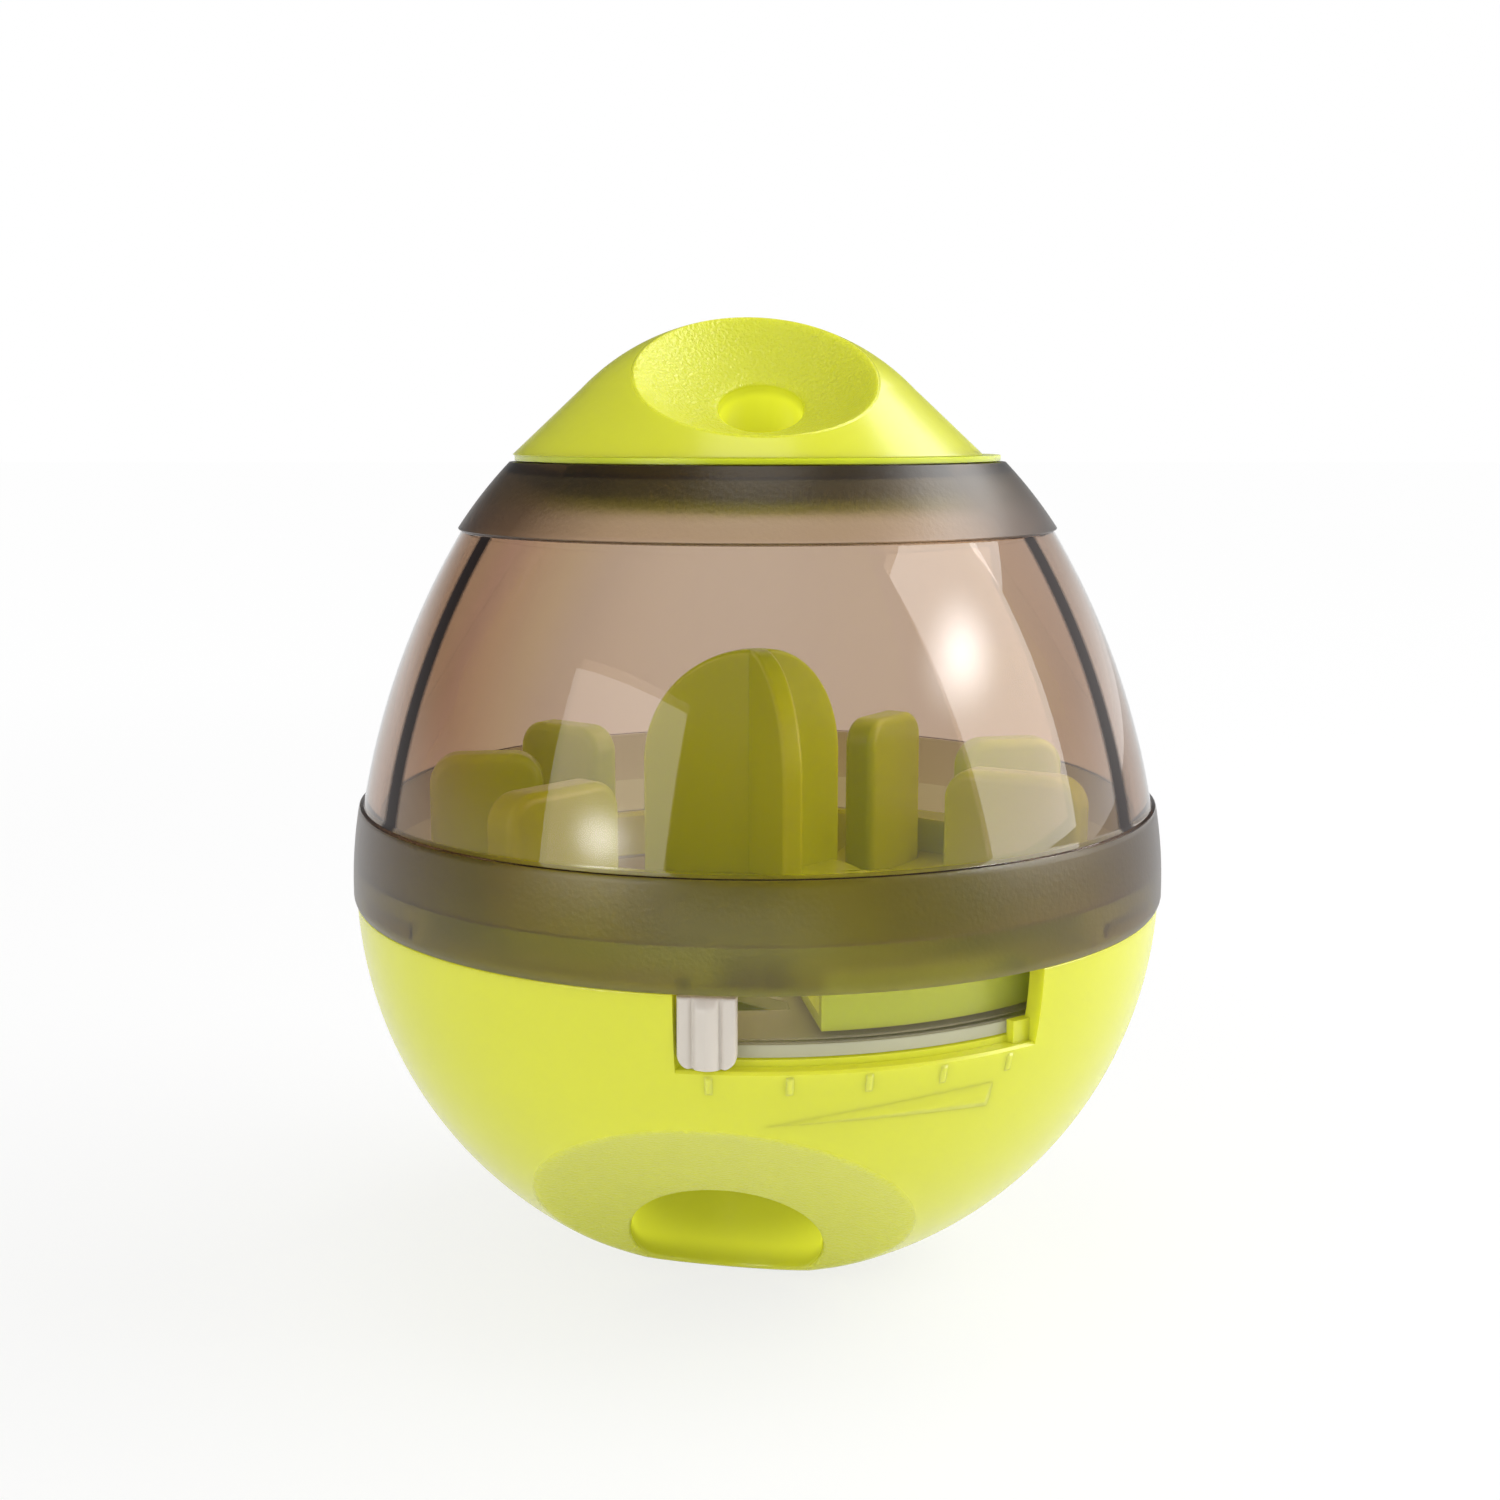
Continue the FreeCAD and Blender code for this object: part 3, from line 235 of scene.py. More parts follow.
def slab(front, back):
    """Points and faces of a closed slab between two grids of one shape."""
    rows, columns = front.shape[:2]
    index = np.arange(rows * columns).reshape(rows, columns)
    behind = index + rows * columns
    quads = [(index[i, j], index[i, j + 1], index[i + 1, j + 1], index[i + 1, j])
             for i in range(rows - 1) for j in range(columns - 1)]
    faces = quads + [tuple(rows * columns + k for k in quad[::-1]) for quad in quads]
    edge = np.concatenate([index[0], index[1:, -1], index[-1, -2::-1], index[-2:0:-1, 0]])
    under = np.concatenate([behind[0], behind[1:, -1], behind[-1, -2::-1], behind[-2:0:-1, 0]])
    for k in range(len(edge)):
        n = (k + 1) % len(edge)
        faces.append((edge[n], edge[k], under[k], under[n]))
    return np.concatenate([front.reshape(-1, 3), back.reshape(-1, 3)]), faces


def turned_block(radii, heights, azimuths):
    """A sector of a ring: a closed block between radii, heights and azimuths."""
    outline = [(radii[0], heights[0]), (radii[1], heights[0]),
               (radii[1], heights[1]), (radii[0], heights[1])]
    rows = [[turned_to(azimuth, radius, height) for radius, height in outline]
            for azimuth in azimuths]
    return capped(rows)


def facing_out(points, faces):
    """The faces turned so that they enclose a positive volume."""
    volume = 0.0
    for face in faces:
        corners = points[list(face)]
        for k in range(1, len(face) - 1):
            volume += np.dot(corners[0], np.cross(corners[k], corners[k + 1]))
    return faces if volume > 0 else [tuple(face)[::-1] for face in faces]


def make_piece(name, shapes, sharp=35):
    """A smooth-shaded object of closed shapes, given in millimetres."""
    points, faces = [], []
    for shape_points, shape_faces in shapes:
        start = sum(len(part) for part in points)
        for face in facing_out(shape_points, shape_faces):
            faces.append([start + int(k) for k in face])
        points.append(shape_points)
    mesh = bpy.data.meshes.new(name)
    mesh.from_pydata((np.concatenate(points) / 1000).tolist(), [], faces)
    mesh.update()
    mesh.shade_smooth()
    mesh.set_sharp_from_angle(angle=math.radians(sharp))
    piece = bpy.data.objects.new(name, mesh)
    bpy.context.scene.collection.objects.link(piece)
    return piece


def carve(piece, shape, sharp=35):
    """Cut a closed shape out of a piece for good."""
    tool = make_piece(piece.name + "_tool", [shape])
    cut = piece.modifiers.new("Cut", "BOOLEAN")
    cut.operation = "DIFFERENCE"
    cut.solver = "EXACT"
    cut.object = tool
    made_plain(piece)
    piece.data.set_sharp_from_angle(angle=math.radians(sharp))
    bpy.data.objects.remove(tool)


class BoredShell:
    """A rounded shell with a shallow dish and a round tunnel that opens in the dish."""

    def __init__(self, middle, body, dish, inner, soft):
        self.middle = np.array(middle)
        self.body = body
        self.dish = dish
        self.inner = inner
        self.soft = soft

    def outer(self, directions):
        return soft_least(self.body(directions), self.dish(directions), self.soft)

    def on_tunnel(self, radius, surface):
        """Where a tunnel of that radius meets a surface, as distances along its axis."""
        low = np.full(AROUND, -12.0)
        high = np.full(AROUND, 30.0)
        for _ in range(40):
            middle = (low + high) / 2
            ray = self.tunnel_point(radius, middle) - self.middle
            within = np.linalg.norm(ray, axis=1) < surface(unit(ray))
            low, high = np.where(within, middle, low), np.where(within, high, middle)
        return (low + high) / 2

    def tunnel_point(self, radius, distance):
        return self.start + radius * self.ring + self.axis * np.asarray(distance)[..., None]

    def fan(self, points, pole):
        """Great circles that leave a pole through points: their tangents and first angles."""
        toward = unit(points - self.middle)
        along = toward @ pole
        return unit(toward - along[:, None] * pole), np.arccos(along)

    def to_rim(self, tangent, first, pole, surface, rim_height):
        """The angles at which the great circles reach the rim's height."""
        def above(angle):
            directions = np.cos(angle)[:, None] * pole + np.sin(angle)[:, None] * tangent
            return surface(directions) * directions[:, 2] - rim_height
        return first_change(above, first + 0.01, np.full(AROUND, math.radians(170)))

    def skin(self, start, axis, radius, wall, lip, tunnel_end, rim_height, rim_round):
        """The whole shell as one closed skin, from the tunnel's lip out and back inside."""
        self.start, self.axis = np.array(start), np.array(axis)
        self.ring = ring_about(self.axis, AROUND)
        lip_out = self.tunnel_point(radius + lip, self.on_tunnel(radius + lip, self.outer))
        corner_at = self.on_tunnel(radius, self.outer)
        lip_corner = self.tunnel_point(radius, corner_at)
        lip_in = self.tunnel_point(radius, corner_at - lip)
        pole = unit(lip_out.mean(axis=0) - self.middle)
        tangent, first = self.fan(lip_out, pole)

        def crease(angle):
            directions = np.cos(angle)[:, None] * pole + np.sin(angle)[:, None] * tangent
            return self.dish(directions) - self.body(directions)

        last = self.to_rim(tangent, first, pole, self.outer, rim_height)
        edge = np.maximum(first_change(crease, first, last), first + 0.004)
        last_wide = last - rim_round / BALL
        # The rows crowd towards the dish's edge, where the surface bends most.
        shares = [first + (edge - first) * (1 - (1 - k / DISH_ROWS) ** 2.2)
                  for k in range(1, DISH_ROWS + 1)]
        shares += [edge + (last_wide - edge) * (k / BODY_ROWS) ** 1.8
                   for k in range(1, BODY_ROWS + 1)]
        angles = np.array(shares)
        outside = self.along_surface(angles, pole, tangent, self.outer)
        rim = self.along_surface(last[None], pole, tangent, self.outer)[0]
        inward = -unit((rim - self.middle) * [1, 1, 0])
        rim_turn = rounded(outside[-1], rim, rim + inward * rim_round)[1:]

        deep_at = self.on_tunnel(radius + wall, self.inner)
        deep = self.tunnel_point(radius + wall, deep_at)
        tangent_in, first_in = self.fan(deep, pole)
        last_in = self.to_rim(tangent_in, first_in, pole, self.inner, rim_height)
        back = np.linspace(1, 0, INNER_ROWS)[:, None]
        inside = self.along_surface(first_in + (last_in - first_in) * back, pole, tangent_in,
                                    self.inner)
        sleeve_at = np.minimum(tunnel_end(self, radius + wall), deep_at - 0.05)
        sleeve = self.tunnel_point(radius + wall, sleeve_at)
        mouth_at = np.minimum(tunnel_end(self, radius), self.on_tunnel(radius, self.inner))
        bore = [self.tunnel_point(radius, mouth_at + (corner_at - lip - mouth_at) * share)
                for share in np.arange(BORE_ROWS) / BORE_ROWS]
        rows = [*rounded(lip_in, lip_corner, lip_out), *outside, *rim_turn, *inside, sleeve, *bore]
        return skin(rows)

    def along_surface(self, angles, pole, tangent, surface):
        directions = (np.cos(angles)[..., None] * pole + np.sin(angles)[..., None] * tangent)
        return self.middle + directions * surface(directions)[..., None]


def make_bowl():
    """Bowl: the ball's lower part with scoop, exit tunnel and slot."""
    scoop_at, scoop_round = scoop_ball()
    scoop_middle = scoop_at - (0, 0, BALL_HEIGHT)

    def ball(directions):
        down = np.maximum(-directions[..., 2], 0.01)
        return soft_least(np.full(down.shape, BALL), BALL_HEIGHT / down, 0.2)

    def scoop(directions):
        return near_side(directions, scoop_middle, scoop_round)

    def inner(directions):
        back = near_side(directions, scoop_middle, scoop_round + SCOOP_WALL)
        return soft_least(np.full(back.shape, BOWL_INNER), back, 0.3)

    def sleeve_end(shell, radius):
        """Where the tunnel's wall meets the sloping floor over it."""
        low, high = np.full(AROUND, -30.0), np.full(AROUND, 20.0)
        slope = math.tan(math.radians(FLOOR_SLOPE))
        for _ in range(40):
            middle = (low + high) / 2
            point = shell.tunnel_point(radius, middle)
            away = np.hypot(point[:, 0] - FLOOR_AXIS[0], point[:, 1] - FLOOR_AXIS[1])
            over = point[:, 2] > FLOOR_LOW + (away - FLOOR_START) * slope
            low, high = np.where(over, middle, low), np.where(over, high, middle)
        return (low + high) / 2

    shell = BoredShell((0, 0, BALL_HEIGHT), ball, scoop, inner, 0.7)
    place = downward(EXIT_AT_TILT, EXIT_AT_SWING) * EXIT_AT + (0, 0, BALL_HEIGHT)
    body = shell.skin(place, downward(EXIT_TILT, EXIT_SWING), EXIT_RADIUS, EXIT_WALL, EXIT_LIP,
                      sleeve_end, -RIM_DROP, 0.3)
    bowl = make_piece("bowl_shell", [body])
    carve(bowl, slot_cutter())
    return bowl


def slot_cutter():
    """The slot's room, with its floor's front edge broken."""
    outline = [(SLOT_BACK, SLOT_FLOOR), (SLOT_LIP, SLOT_FLOOR),
               (SLOT_FRONT, SLOT_FLOOR - SLOT_BEVEL), (SLOT_FRONT, SEAM + 2), (SLOT_BACK, SEAM + 2)]
    rows = [[turned_to(azimuth, radius, height) for radius, height in outline]
            for azimuth in np.linspace(SLOT_START, SLOT_END, 81)]
    return capped(rows)


def make_lock_tab():
    """Upright tab on the rim that holds a lug of the dome, with a lip and an end stop."""
    tab = RIM_INNER + 0.25
    back = tab - TAB_WALL
    span = np.linspace(TAB_START, TAB_END, 13)
    end = np.linspace(TAB_STOP, TAB_START + 0.1, 4)
    return make_piece("lock_tabs", [
        turned_block((back, RIM_INNER + 0.2), (TAB_ROOT, SEAM + 0.1), span),
        turned_block((back, tab), (SEAM - 0.1, TAB_TOP), span),
        turned_block((tab - 0.1, tab + TAB_LIP), (TAB_LIP_LOW, TAB_TOP), span),
        turned_block((back, tab + TAB_LIP), (SEAM - 0.1, TAB_TOP), end),
    ])


def gate_rail():
    """Ledge inside the wall under the slot that the gate's rim runs over."""
    return turned_block((RAIL_INNER, RAIL_OUTER), (SLOT_FLOOR - RAIL_DEEP, RAIL_TOP),
                        np.linspace(SLOT_START - RAIL_OVERLAP, SLOT_END + RAIL_OVERLAP, 61))


def slot_stop():
    """Small ledge in the slot's lower right corner."""
    return turned_block((RIM_INNER - STOP_DEEP, STOP_FRONT),
                        (SLOT_FLOOR - STOP_DEEP, SLOT_FLOOR + STOP_HIGH),
                        np.linspace(SLOT_END - STOP_SPAN, SLOT_END + 0.9, 7))


def on_ball(azimuth, height, proud):
    """Points on the ball at azimuths and heights over the seam, raised by some amount."""
    radius = np.sqrt((BALL + proud) ** 2 - (height - RIM_DROP) ** 2)
    return turned_to(azimuth, radius, SEAM + height)


def eased(distance, width):
    """0 at an edge, 1 from that distance inward, with a smooth rise between."""
    share = np.clip(distance / width, 0, 1)
    return share * share * (3 - 2 * share)


def make_scale_mark():
    """The first of the short raised bars under the slot."""
    across = np.array([-0.5, -0.42, -0.3, -0.15, 0, 0.15, 0.3, 0.42, 0.5])
    along = np.array([0, 0.06, 0.14, 0.24, 0.4, 0.6, 0.76, 0.86, 0.94, 1])
    s, v = np.meshgrid(across, along)
    azimuth = MARK_FIRST + s * MARK_SPAN
    height = MARK_TOP - v * MARK_LENGTH
    edge = np.minimum(0.5 - np.abs(s), np.minimum(v, 1 - v) * 2.2)
    proud = MARK_PROUD * eased(edge, 0.34) - 0.03
    return make_piece("scale_marks", [slab(on_ball(azimuth, height, proud),
                                           on_ball(azimuth, height, SUNK))])


def wedge():
    """Long low wedge under the marks: it swells from a point at the left."""
    s, v = np.meshgrid(np.linspace(0, 1, 90), np.linspace(0, 1, 24))
    s = 1 - (1 - s) ** 1.15
    azimuth = WEDGE_START + WEDGE_SPAN * s
    # Both long edges rise to the right and bend down a little.
    upper = WEDGE_POINT + 7.6 * s - 3.66 * s * s
    lower = WEDGE_POINT + 3.2 * s - 2.96 * s * s
    height = upper + (lower - upper) * v
    depth = upper - lower
    proud = np.minimum(eased(v * depth, 2.2), eased((1 - v) * depth, 0.9))
    proud = np.minimum(proud, eased((1 - s) * 33, 0.9)) * WEDGE_PROUD - 0.015
    return slab(on_ball(azimuth, height, proud), on_ball(azimuth, height, SUNK))


def make_cap():
    """Cap shell: crown with a tilted dish and a round port; its three pegs are made apart."""
    middle = np.array([CAP_SHIFT, 0, LID_TOP - CAP_HEART])
    dish_at, dish_round = dish_ball()
    dish_middle = dish_at - middle
    crown_middle = np.array([0, 0, LID_TOP + CAP_CROWN - CAP_CROWN_ROUND]) - [0, 0, middle[2]]
    steep = CAP_FLARE / (CAP_RADIUS - CAP_FLARE_RADIUS)

    def crown(directions, inset=0.0):
        """A cone below the height where it meets the crown's sphere, and the sphere above."""
        cone = CAP_RADIUS - inset * math.hypot(1, steep) / steep
        out = np.hypot(directions[..., 0], directions[..., 1])
        flare = (CAP_HEART + cone * steep) / np.maximum(directions[..., 2] + out * steep, 0.05)
        top = far_side(directions, crown_middle, CAP_CROWN_ROUND - inset)
        joint = CAP_FLARE_RADIUS / (CAP_HEART + CAP_FLARE)
        return top + (flare - top) * eased(out / np.maximum(directions[..., 2], 0.01) - joint, 0.04)

    def dish(directions):
        return near_side(directions, dish_middle, dish_round)

    def inner(directions):
        back = near_side(directions, dish_middle, dish_round + CAP_WALL)
        return soft_least(crown(directions, CAP_WALL), back, 0.6)

    def tube_end(shell, radius):
        return np.full(AROUND, -PORT_LENGTH)

    shell = BoredShell(middle, crown, dish, inner, 0.4)
    axis = leaning(PORT_TILT)
    body = shell.skin(dish_at - axis * dish_round, axis, PORT_RADIUS, PORT_WALL, PORT_LIP,
                      tube_end, CAP_HEART, 0.35)
    return make_piece("cap_crown", [body])


def make_peg():
    """One of the three pegs that stand in the lid ring's holes."""
    centre = turned_to(LUG_FIRST, PEG_CIRCLE, 0)
    rows = [turned_to(np.arange(0, 360, 15), radius, LID_TOP + height) + centre
            for radius, height in ((PEG_TIP, -2.6), (PEG_RADIUS, -2.3), (PEG_RADIUS, 0.55))]
    return make_piece("cap_pegs", [capped(rows)])


def make_dome():
    """Dome: frosted band, clear window and frosted collar, with lugs inside its foot."""
    # Points (radius, height over the seam), up the outside and down again inside.
    profile = [(53.61, 0.0), (54.0, 0.0), (54.3, 0.0)]
    profile += arc((54.51, 0.0), (55.0, 1.6), 2.2, 6, 1)
    profile += arc((55.0, 1.6), (53.96, 12.96), 60, 16, 1)
    profile += [(53.96, 12.96), (53.86, 13.08), (53.36, 13.16)]
    profile += arc((53.31, 13.25), (39.6, 49.1), WINDOW_ARC, 56, 1)
    profile += [(39.6, 49.1), (39.72, 49.28), (39.92, 49.36)]
    profile += arc((40.0, 49.5), (33.1, COLLAR_TOP), 60, 14, 1)
    profile += [(radius, COLLAR_TOP) for radius in (33.1, 32.9, 31.3, 29.7, MOUTH)]
    profile += [(MOUTH, 57.9), (MOUTH, 55.5), (MOUTH, 53.3), (30.4, 53.3), (31.3, 53.3),
                (31.3, 54.6), (31.3, 56.1), (32.2, 56.1), (33.1, 56.1)]
    profile += arc((33.1, 56.1), (38.0, 48.35), 60, 8, -1)[1:]
    profile += arc((38.0, 48.35), (51.31, 12.2), WINDOW_ARC, 40, -1)
    profile += [(51.31, 12.2), (51.9, 9.0), (52.5, 5.6), (52.61, 5.4), (53.1, 5.4),
                (53.61, 5.4), (53.61, 4.0), (53.61, 2.51), (LUG_SEAT, 2.5), (LUG_SEAT, 1.2),
                (53.61, 1.19)]
    azimuths = np.arange(AROUND) * 360 / AROUND
    half = 180 / LUG_COUNT
    from_lug = np.abs((azimuths - LUG_FIRST + half) % (2 * half) - half)
    rings = {LUG_SEAT: np.where(from_lug < LUG_HALF, LUG_TIP, LUG_SEAT),
             MOUTH: np.where(from_lug < NOTCH_HALF, NOTCH, MOUTH)}
    rows = [turned_to(azimuths, rings.get(radius, radius), SEAM + height)
            for radius, height in profile]
    return make_piece("dome_shell", [skin(rows)], sharp=30)


def make_knob():
    """Knob: a grip with a rib down its middle, rounded all round, on a short tenon."""
    top_rows = [0, 0.04, 0.1, 0.18, 0.28, 0.4, 0.6, 0.9, 1.2, 1.6]
    foot_rows = [1.6, 1.25, 0.95, 0.7, 0.5, 0.35, 0.22, 0.12, 0.05, 0]
    drop = np.concatenate([top_rows, np.linspace(2.2, 6.2, 8), KNOB_HEIGHT - np.array(foot_rows)])
    share, fall = np.meshgrid(np.linspace(-1, 1, 61), drop)
    rise = KNOB_HEIGHT - fall
    near_foot = np.clip(KNOB_CORNER - rise, 0, KNOB_CORNER)
    half = KNOB_WIDTH / 2 - (KNOB_CORNER - np.sqrt(KNOB_CORNER ** 2 - near_foot ** 2))
    x = share * half
    rib = 0.9 * np.sqrt(np.clip(1 - (x / 1.45) ** 2, 0, 1)) * eased(fall, 1.4)
    groove = 0.22 * np.exp(-((np.abs(x) - 1.65) / 0.22) ** 2)
    scallop = 0.12 * np.cos((np.abs(x) - 2.6) * 1.6)
    to_edge = np.minimum(np.minimum(half - np.abs(x), fall), rise)
    cut_in = np.clip(KNOB_EDGE - to_edge, 0, KNOB_EDGE)
    inset = KNOB_EDGE - np.sqrt(np.maximum(KNOB_EDGE ** 2 - cut_in ** 2, 0))
    face = KNOB_FACE + rib - groove + scallop - inset
    y = -np.sqrt(face ** 2 - x ** 2)
    front = np.stack([x, y, KNOB_TOP - fall], axis=-1)
    back = np.stack([x, np.full(x.shape, -KNOB_BACK), KNOB_TOP - fall], axis=-1)
    tenon_x, tenon_z = np.meshgrid([-2, -1.9, 1.9, 2], [0, -0.1, -3.5, -3.6])
    tenon = slab(*(np.stack([tenon_x, np.full(tenon_x.shape, -out), TENON_TOP + tenon_z], -1)
                   for out in (TENON_FRONT, TENON_BACK)))
    turn = math.radians(KNOB_MIDDLE)
    spin = np.array([[math.cos(turn), -math.sin(turn), 0], [math.sin(turn), math.cos(turn), 0],
                     [0, 0, 1]])
    shapes = [(points @ spin.T, faces) for points, faces in (slab(front, back), tenon)]
    return make_piece("knob_grip", shapes)


class Sum:
    """A shader value that takes part in plain arithmetic."""

    def __init__(self, finish, socket):
        self.finish = finish
        self.socket = socket

    def joined(self, operation, first, second):
        return self.finish.node("Math", {"operation": operation}, {0: first, 1: second})

    def __add__(self, other):
        return self.joined("ADD", self, other)

    def __radd__(self, other):
        return self.joined("ADD", other, self)

    def __sub__(self, other):
        return self.joined("SUBTRACT", self, other)

    def __rsub__(self, other):
        return self.joined("SUBTRACT", other, self)

    def __mul__(self, other):
        return self.joined("MULTIPLY", self, other)

    def __rmul__(self, other):
        return self.joined("MULTIPLY", other, self)

    def least(self, other):
        return self.joined("MINIMUM", self, other)

    def most(self, other):
        return self.joined("MAXIMUM", self, other)

    def clipped(self):
        return self.most(0.0).least(1.0)


class Finish:
    """The nodes of one material, or of the world, under construction."""

    def __init__(self, holder):
        self.holder = holder
        holder.use_nodes = True
        self.tree = holder.node_tree
        self.tree.nodes.clear()
        self.place = self.node("TexCoord", {}, {}, "Object")

    def node(self, kind, settings, inputs, output=0):
        """Add a node with its settings and sockets, and return one of its outputs."""
        node = self.tree.nodes.new("ShaderNode" + kind)
        for name, value in settings.items():
            if name == "stops":
                self.set_stops(node.color_ramp, value)
            else:
                setattr(node, name, value)
        for name, value in inputs.items():
            if isinstance(value, Sum):
                self.tree.links.new(value.socket, node.inputs[name])
            else:
                node.inputs[name].default_value = value
        return Sum(self, node.outputs[output]) if node.outputs else node

    def set_stops(self, ramp, stops):
        while len(ramp.elements) < len(stops):
            ramp.elements.new(0.5)
        for element, (position, colour) in zip(ramp.elements, stops):
            element.position = position
            element.color = colour

    def noise(self, scale, detail=2.0, roughness=0.5):
        return self.node("TexNoise", {}, {"Vector": self.place, "Scale": scale, "Detail": detail,
                                          "Roughness": roughness}, "Fac")

    def part(self, axis):
        """One of the place's three numbers, in metres."""
        return self.node("SeparateXYZ", {}, {0: self.place}, axis)

    def height(self):
        """Height above the floor in metres."""
        return self.part(2)

    def reach(self):
        """Distance from the upright axis in metres."""
        flat = self.node("VectorMath", {"operation": "MULTIPLY"}, {0: self.place, 1: (1, 1, 0)})
        return self.node("VectorMath", {"operation": "LENGTH"}, {0: flat}, 1)

    def facing(self):
        """0 where the surface is seen square on, 1 where it turns away."""
        return self.node("LayerWeight", {}, {"Blend": 0.5}, "Facing")

    def ray_is(self, *kinds):
        """1 for rays of these kinds, else 0."""
        kinds = [self.node("LightPath", {}, {}, "Is %s Ray" % kind) for kind in kinds]
        return sum(kinds[1:], kinds[0]).clipped()

    def distance_to(self, point):
        away = self.node("VectorMath", {"operation": "SUBTRACT"}, {0: self.place, 1: point})
        return self.node("VectorMath", {"operation": "LENGTH"}, {0: away}, 1)

    def smooth(self, value, low, high):
        """0 below one value and 1 above the other, smooth between."""
        return self.node("MapRange", {"interpolation_type": "SMOOTHSTEP"},
                         {"Value": value, "From Min": low, "From Max": high})

    def ramp(self, value, stops):
        """A colour that runs through stops of (value, colour)."""
        return self.node("ValToRGB", {"stops": stops}, {"Fac": value})

    def mix(self, share, first, second):
        return self.node("Mix", {"data_type": "RGBA"}, {0: share, 6: first, 7: second}, 2)

    def bump(self, height, strength, distance):
        return self.node("Bump", {}, {"Strength": strength, "Distance": distance,
                                      "Height": height})

    def close(self, shader, **others):
        self.node("OutputMaterial", {}, {"Surface": shader, **others})
        return self.holder

    def surface(self, inputs):
        """Close the material with one Principled shader."""
        return self.close(self.node("BsdfPrincipled", {}, inputs))


def new_finish(name):
    return Finish(bpy.data.materials.new(name))


def linear(red, green, blue):
    """A colour as the eye sees it, 0 to 255, for a shader socket."""
    parts = [(c / 255 / 12.92) if c <= 10 else ((c / 255 + 0.055) / 1.055) ** 2.4
             for c in (red, green, blue)]
    return (*parts, 1.0)


def green_plastic(name, colour, hollow=None, shell=None, deep_glow=1.0):
    """Glossy yellow-green plastic, with a leathery skin inside a hollow's sphere.

    The walls inside a shell's sphere, but not in its hollow, get a painted glow that stands in
    for the light the thin plastic lets through, and deep inside only a share of it.
    """
    finish = new_finish(name)
    cloud = finish.noise(22, 3)
    fine = finish.noise(700, 2)
    inputs = {
        "Base Color": finish.mix(cloud, linear(*colour), linear(*(c * 0.95 for c in colour))),
        "IOR": 1.49,
        "Subsurface Weight": 0.6,
        "Subsurface Radius": (1.0, 1.0, 0.15),
        "Subsurface Scale": 0.003,
    }
    rough = 0.2 + cloud * 0.06
    if hollow:
        middle, radius = hollow
        away = finish.distance_to(tuple(middle / 1000)) * 1000
        within = 1 - finish.smooth(away, radius + 0.1, radius + 0.5)
        leather = finish.noise(2000, 2, 0.55)
        heart, reach = shell
        out = finish.distance_to(tuple(np.array(heart) / 1000)) * 1000
        inside = 1 - finish.smooth(out, reach - 3.5, reach - 0.8)
        behind = finish.smooth(away, radius + 0.3, radius + 2.0)
        lit = 1 - finish.smooth(away, radius + 1.5, radius + 9.0) * (1 - deep_glow)
        # Painted glow: an emission standing in for light that comes through the thin walls into the
        # hollows.
        inputs["Emission Color"] = finish.mix(inside * behind * lit, BLACK, linear(*colour))
        inputs["Emission Strength"] = 0.42
        inputs["Roughness"] = rough + within * 0.1
        inputs["Normal"] = finish.bump(leather * within + fine * 0.05, 0.8, 0.0004)
    else:
        inputs["Roughness"] = rough
        inputs["Normal"] = finish.bump(fine, 0.04, 0.0003)
    return finish.surface(inputs)


def window_tint(finish, facing):
    """The window's tint, deepest in slanting sight, with a film of colours at its upper left.

    The film is a painted iridescent sheen that stands for strain the moulding has left in the
    plastic.
    """
    # Painted shade: the tint deepens as the surface turns away from square on.
    clear = finish.ramp(facing, [
        (0.06, WHITE), (0.35, (0.9, 0.83, 0.73, 1)), (0.57, (0.78, 0.65, 0.53, 1)),
        (0.69, (0.74, 0.62, 0.53, 1)), (1.0, WHITE)])
    # Painted iridescent sheen: colours of reflection laid into the colour at the strained place.
    film = finish.ramp(facing, [
        (0.12, WHITE), (0.2, (0.86, 0.9, 0.95, 1)), (0.28, (0.95, 0.98, 0.8, 1)),
        (0.38, (1, 0.88, 0.8, 1)), (0.47, (0.9, 0.72, 0.88, 1)), (0.56, (1, 0.96, 0.98, 1))])
    strain_sheen = 1 - finish.smooth(finish.distance_to(STRAIN_SHEEN_AT), 0.01, 0.036)
    return finish.node("Mix", {"data_type": "RGBA", "blend_type": "MULTIPLY"},
                       {0: strain_sheen * 0.75, 6: clear, 7: film}, 2)


def frost_tint_painted_shade(finish, facing, height, collar):
    """Colours of band, collar and neck, palest where seen square on: painted shade that deepens in
    slanting sight, and for band and neck a painted green of the parts behind.
    """
    # Painted shade: each ramp darkens as the surface turns away; the green square-on tones are
    # painted in for the parts behind.
    low_frost_shade = finish.ramp(facing, [(0.3, (0.58, 0.56, 0.3, 1)), (0.9, (0.16, 0.14, 0.13, 1))])
    high_frost_shade = finish.ramp(facing, [(0.25, (0.95, 0.91, 0.8, 1)), (0.52, (0.19, 0.165, 0.13, 1)),
                                     (0.9, (0.14, 0.125, 0.115, 1))])
    neck_frost_shade = finish.ramp(facing, [(0.2, (0.6, 0.58, 0.28, 1)), (0.5, (0.19, 0.165, 0.12, 1)),
                                     (0.9, (0.14, 0.125, 0.115, 1))])
    neck = finish.smooth(height, COLLAR_LOW + 2.2, COLLAR_LOW + 4.2)
    return finish.mix(collar, low_frost_shade, finish.mix(neck, high_frost_shade, neck_frost_shade))


def painted_edge_line(finish, facing, height):
    """1 on a line near the edges of what is seen of the window's outer face, else 0; a painted dark
    line of shade is drawn there.
    """
    out = finish.reach() * 1000 - WINDOW_ARC_MIDDLE
    up = height - WINDOW_ARC_HEIGHT
    outside = finish.smooth(out * out + up * up, (WINDOW_ARC - 1.3) ** 2, (WINDOW_ARC - 0.5) ** 2)
    line = finish.smooth(facing, 0.585, 0.61) * (1 - finish.smooth(facing, 0.655, 0.685))
    return line * outside


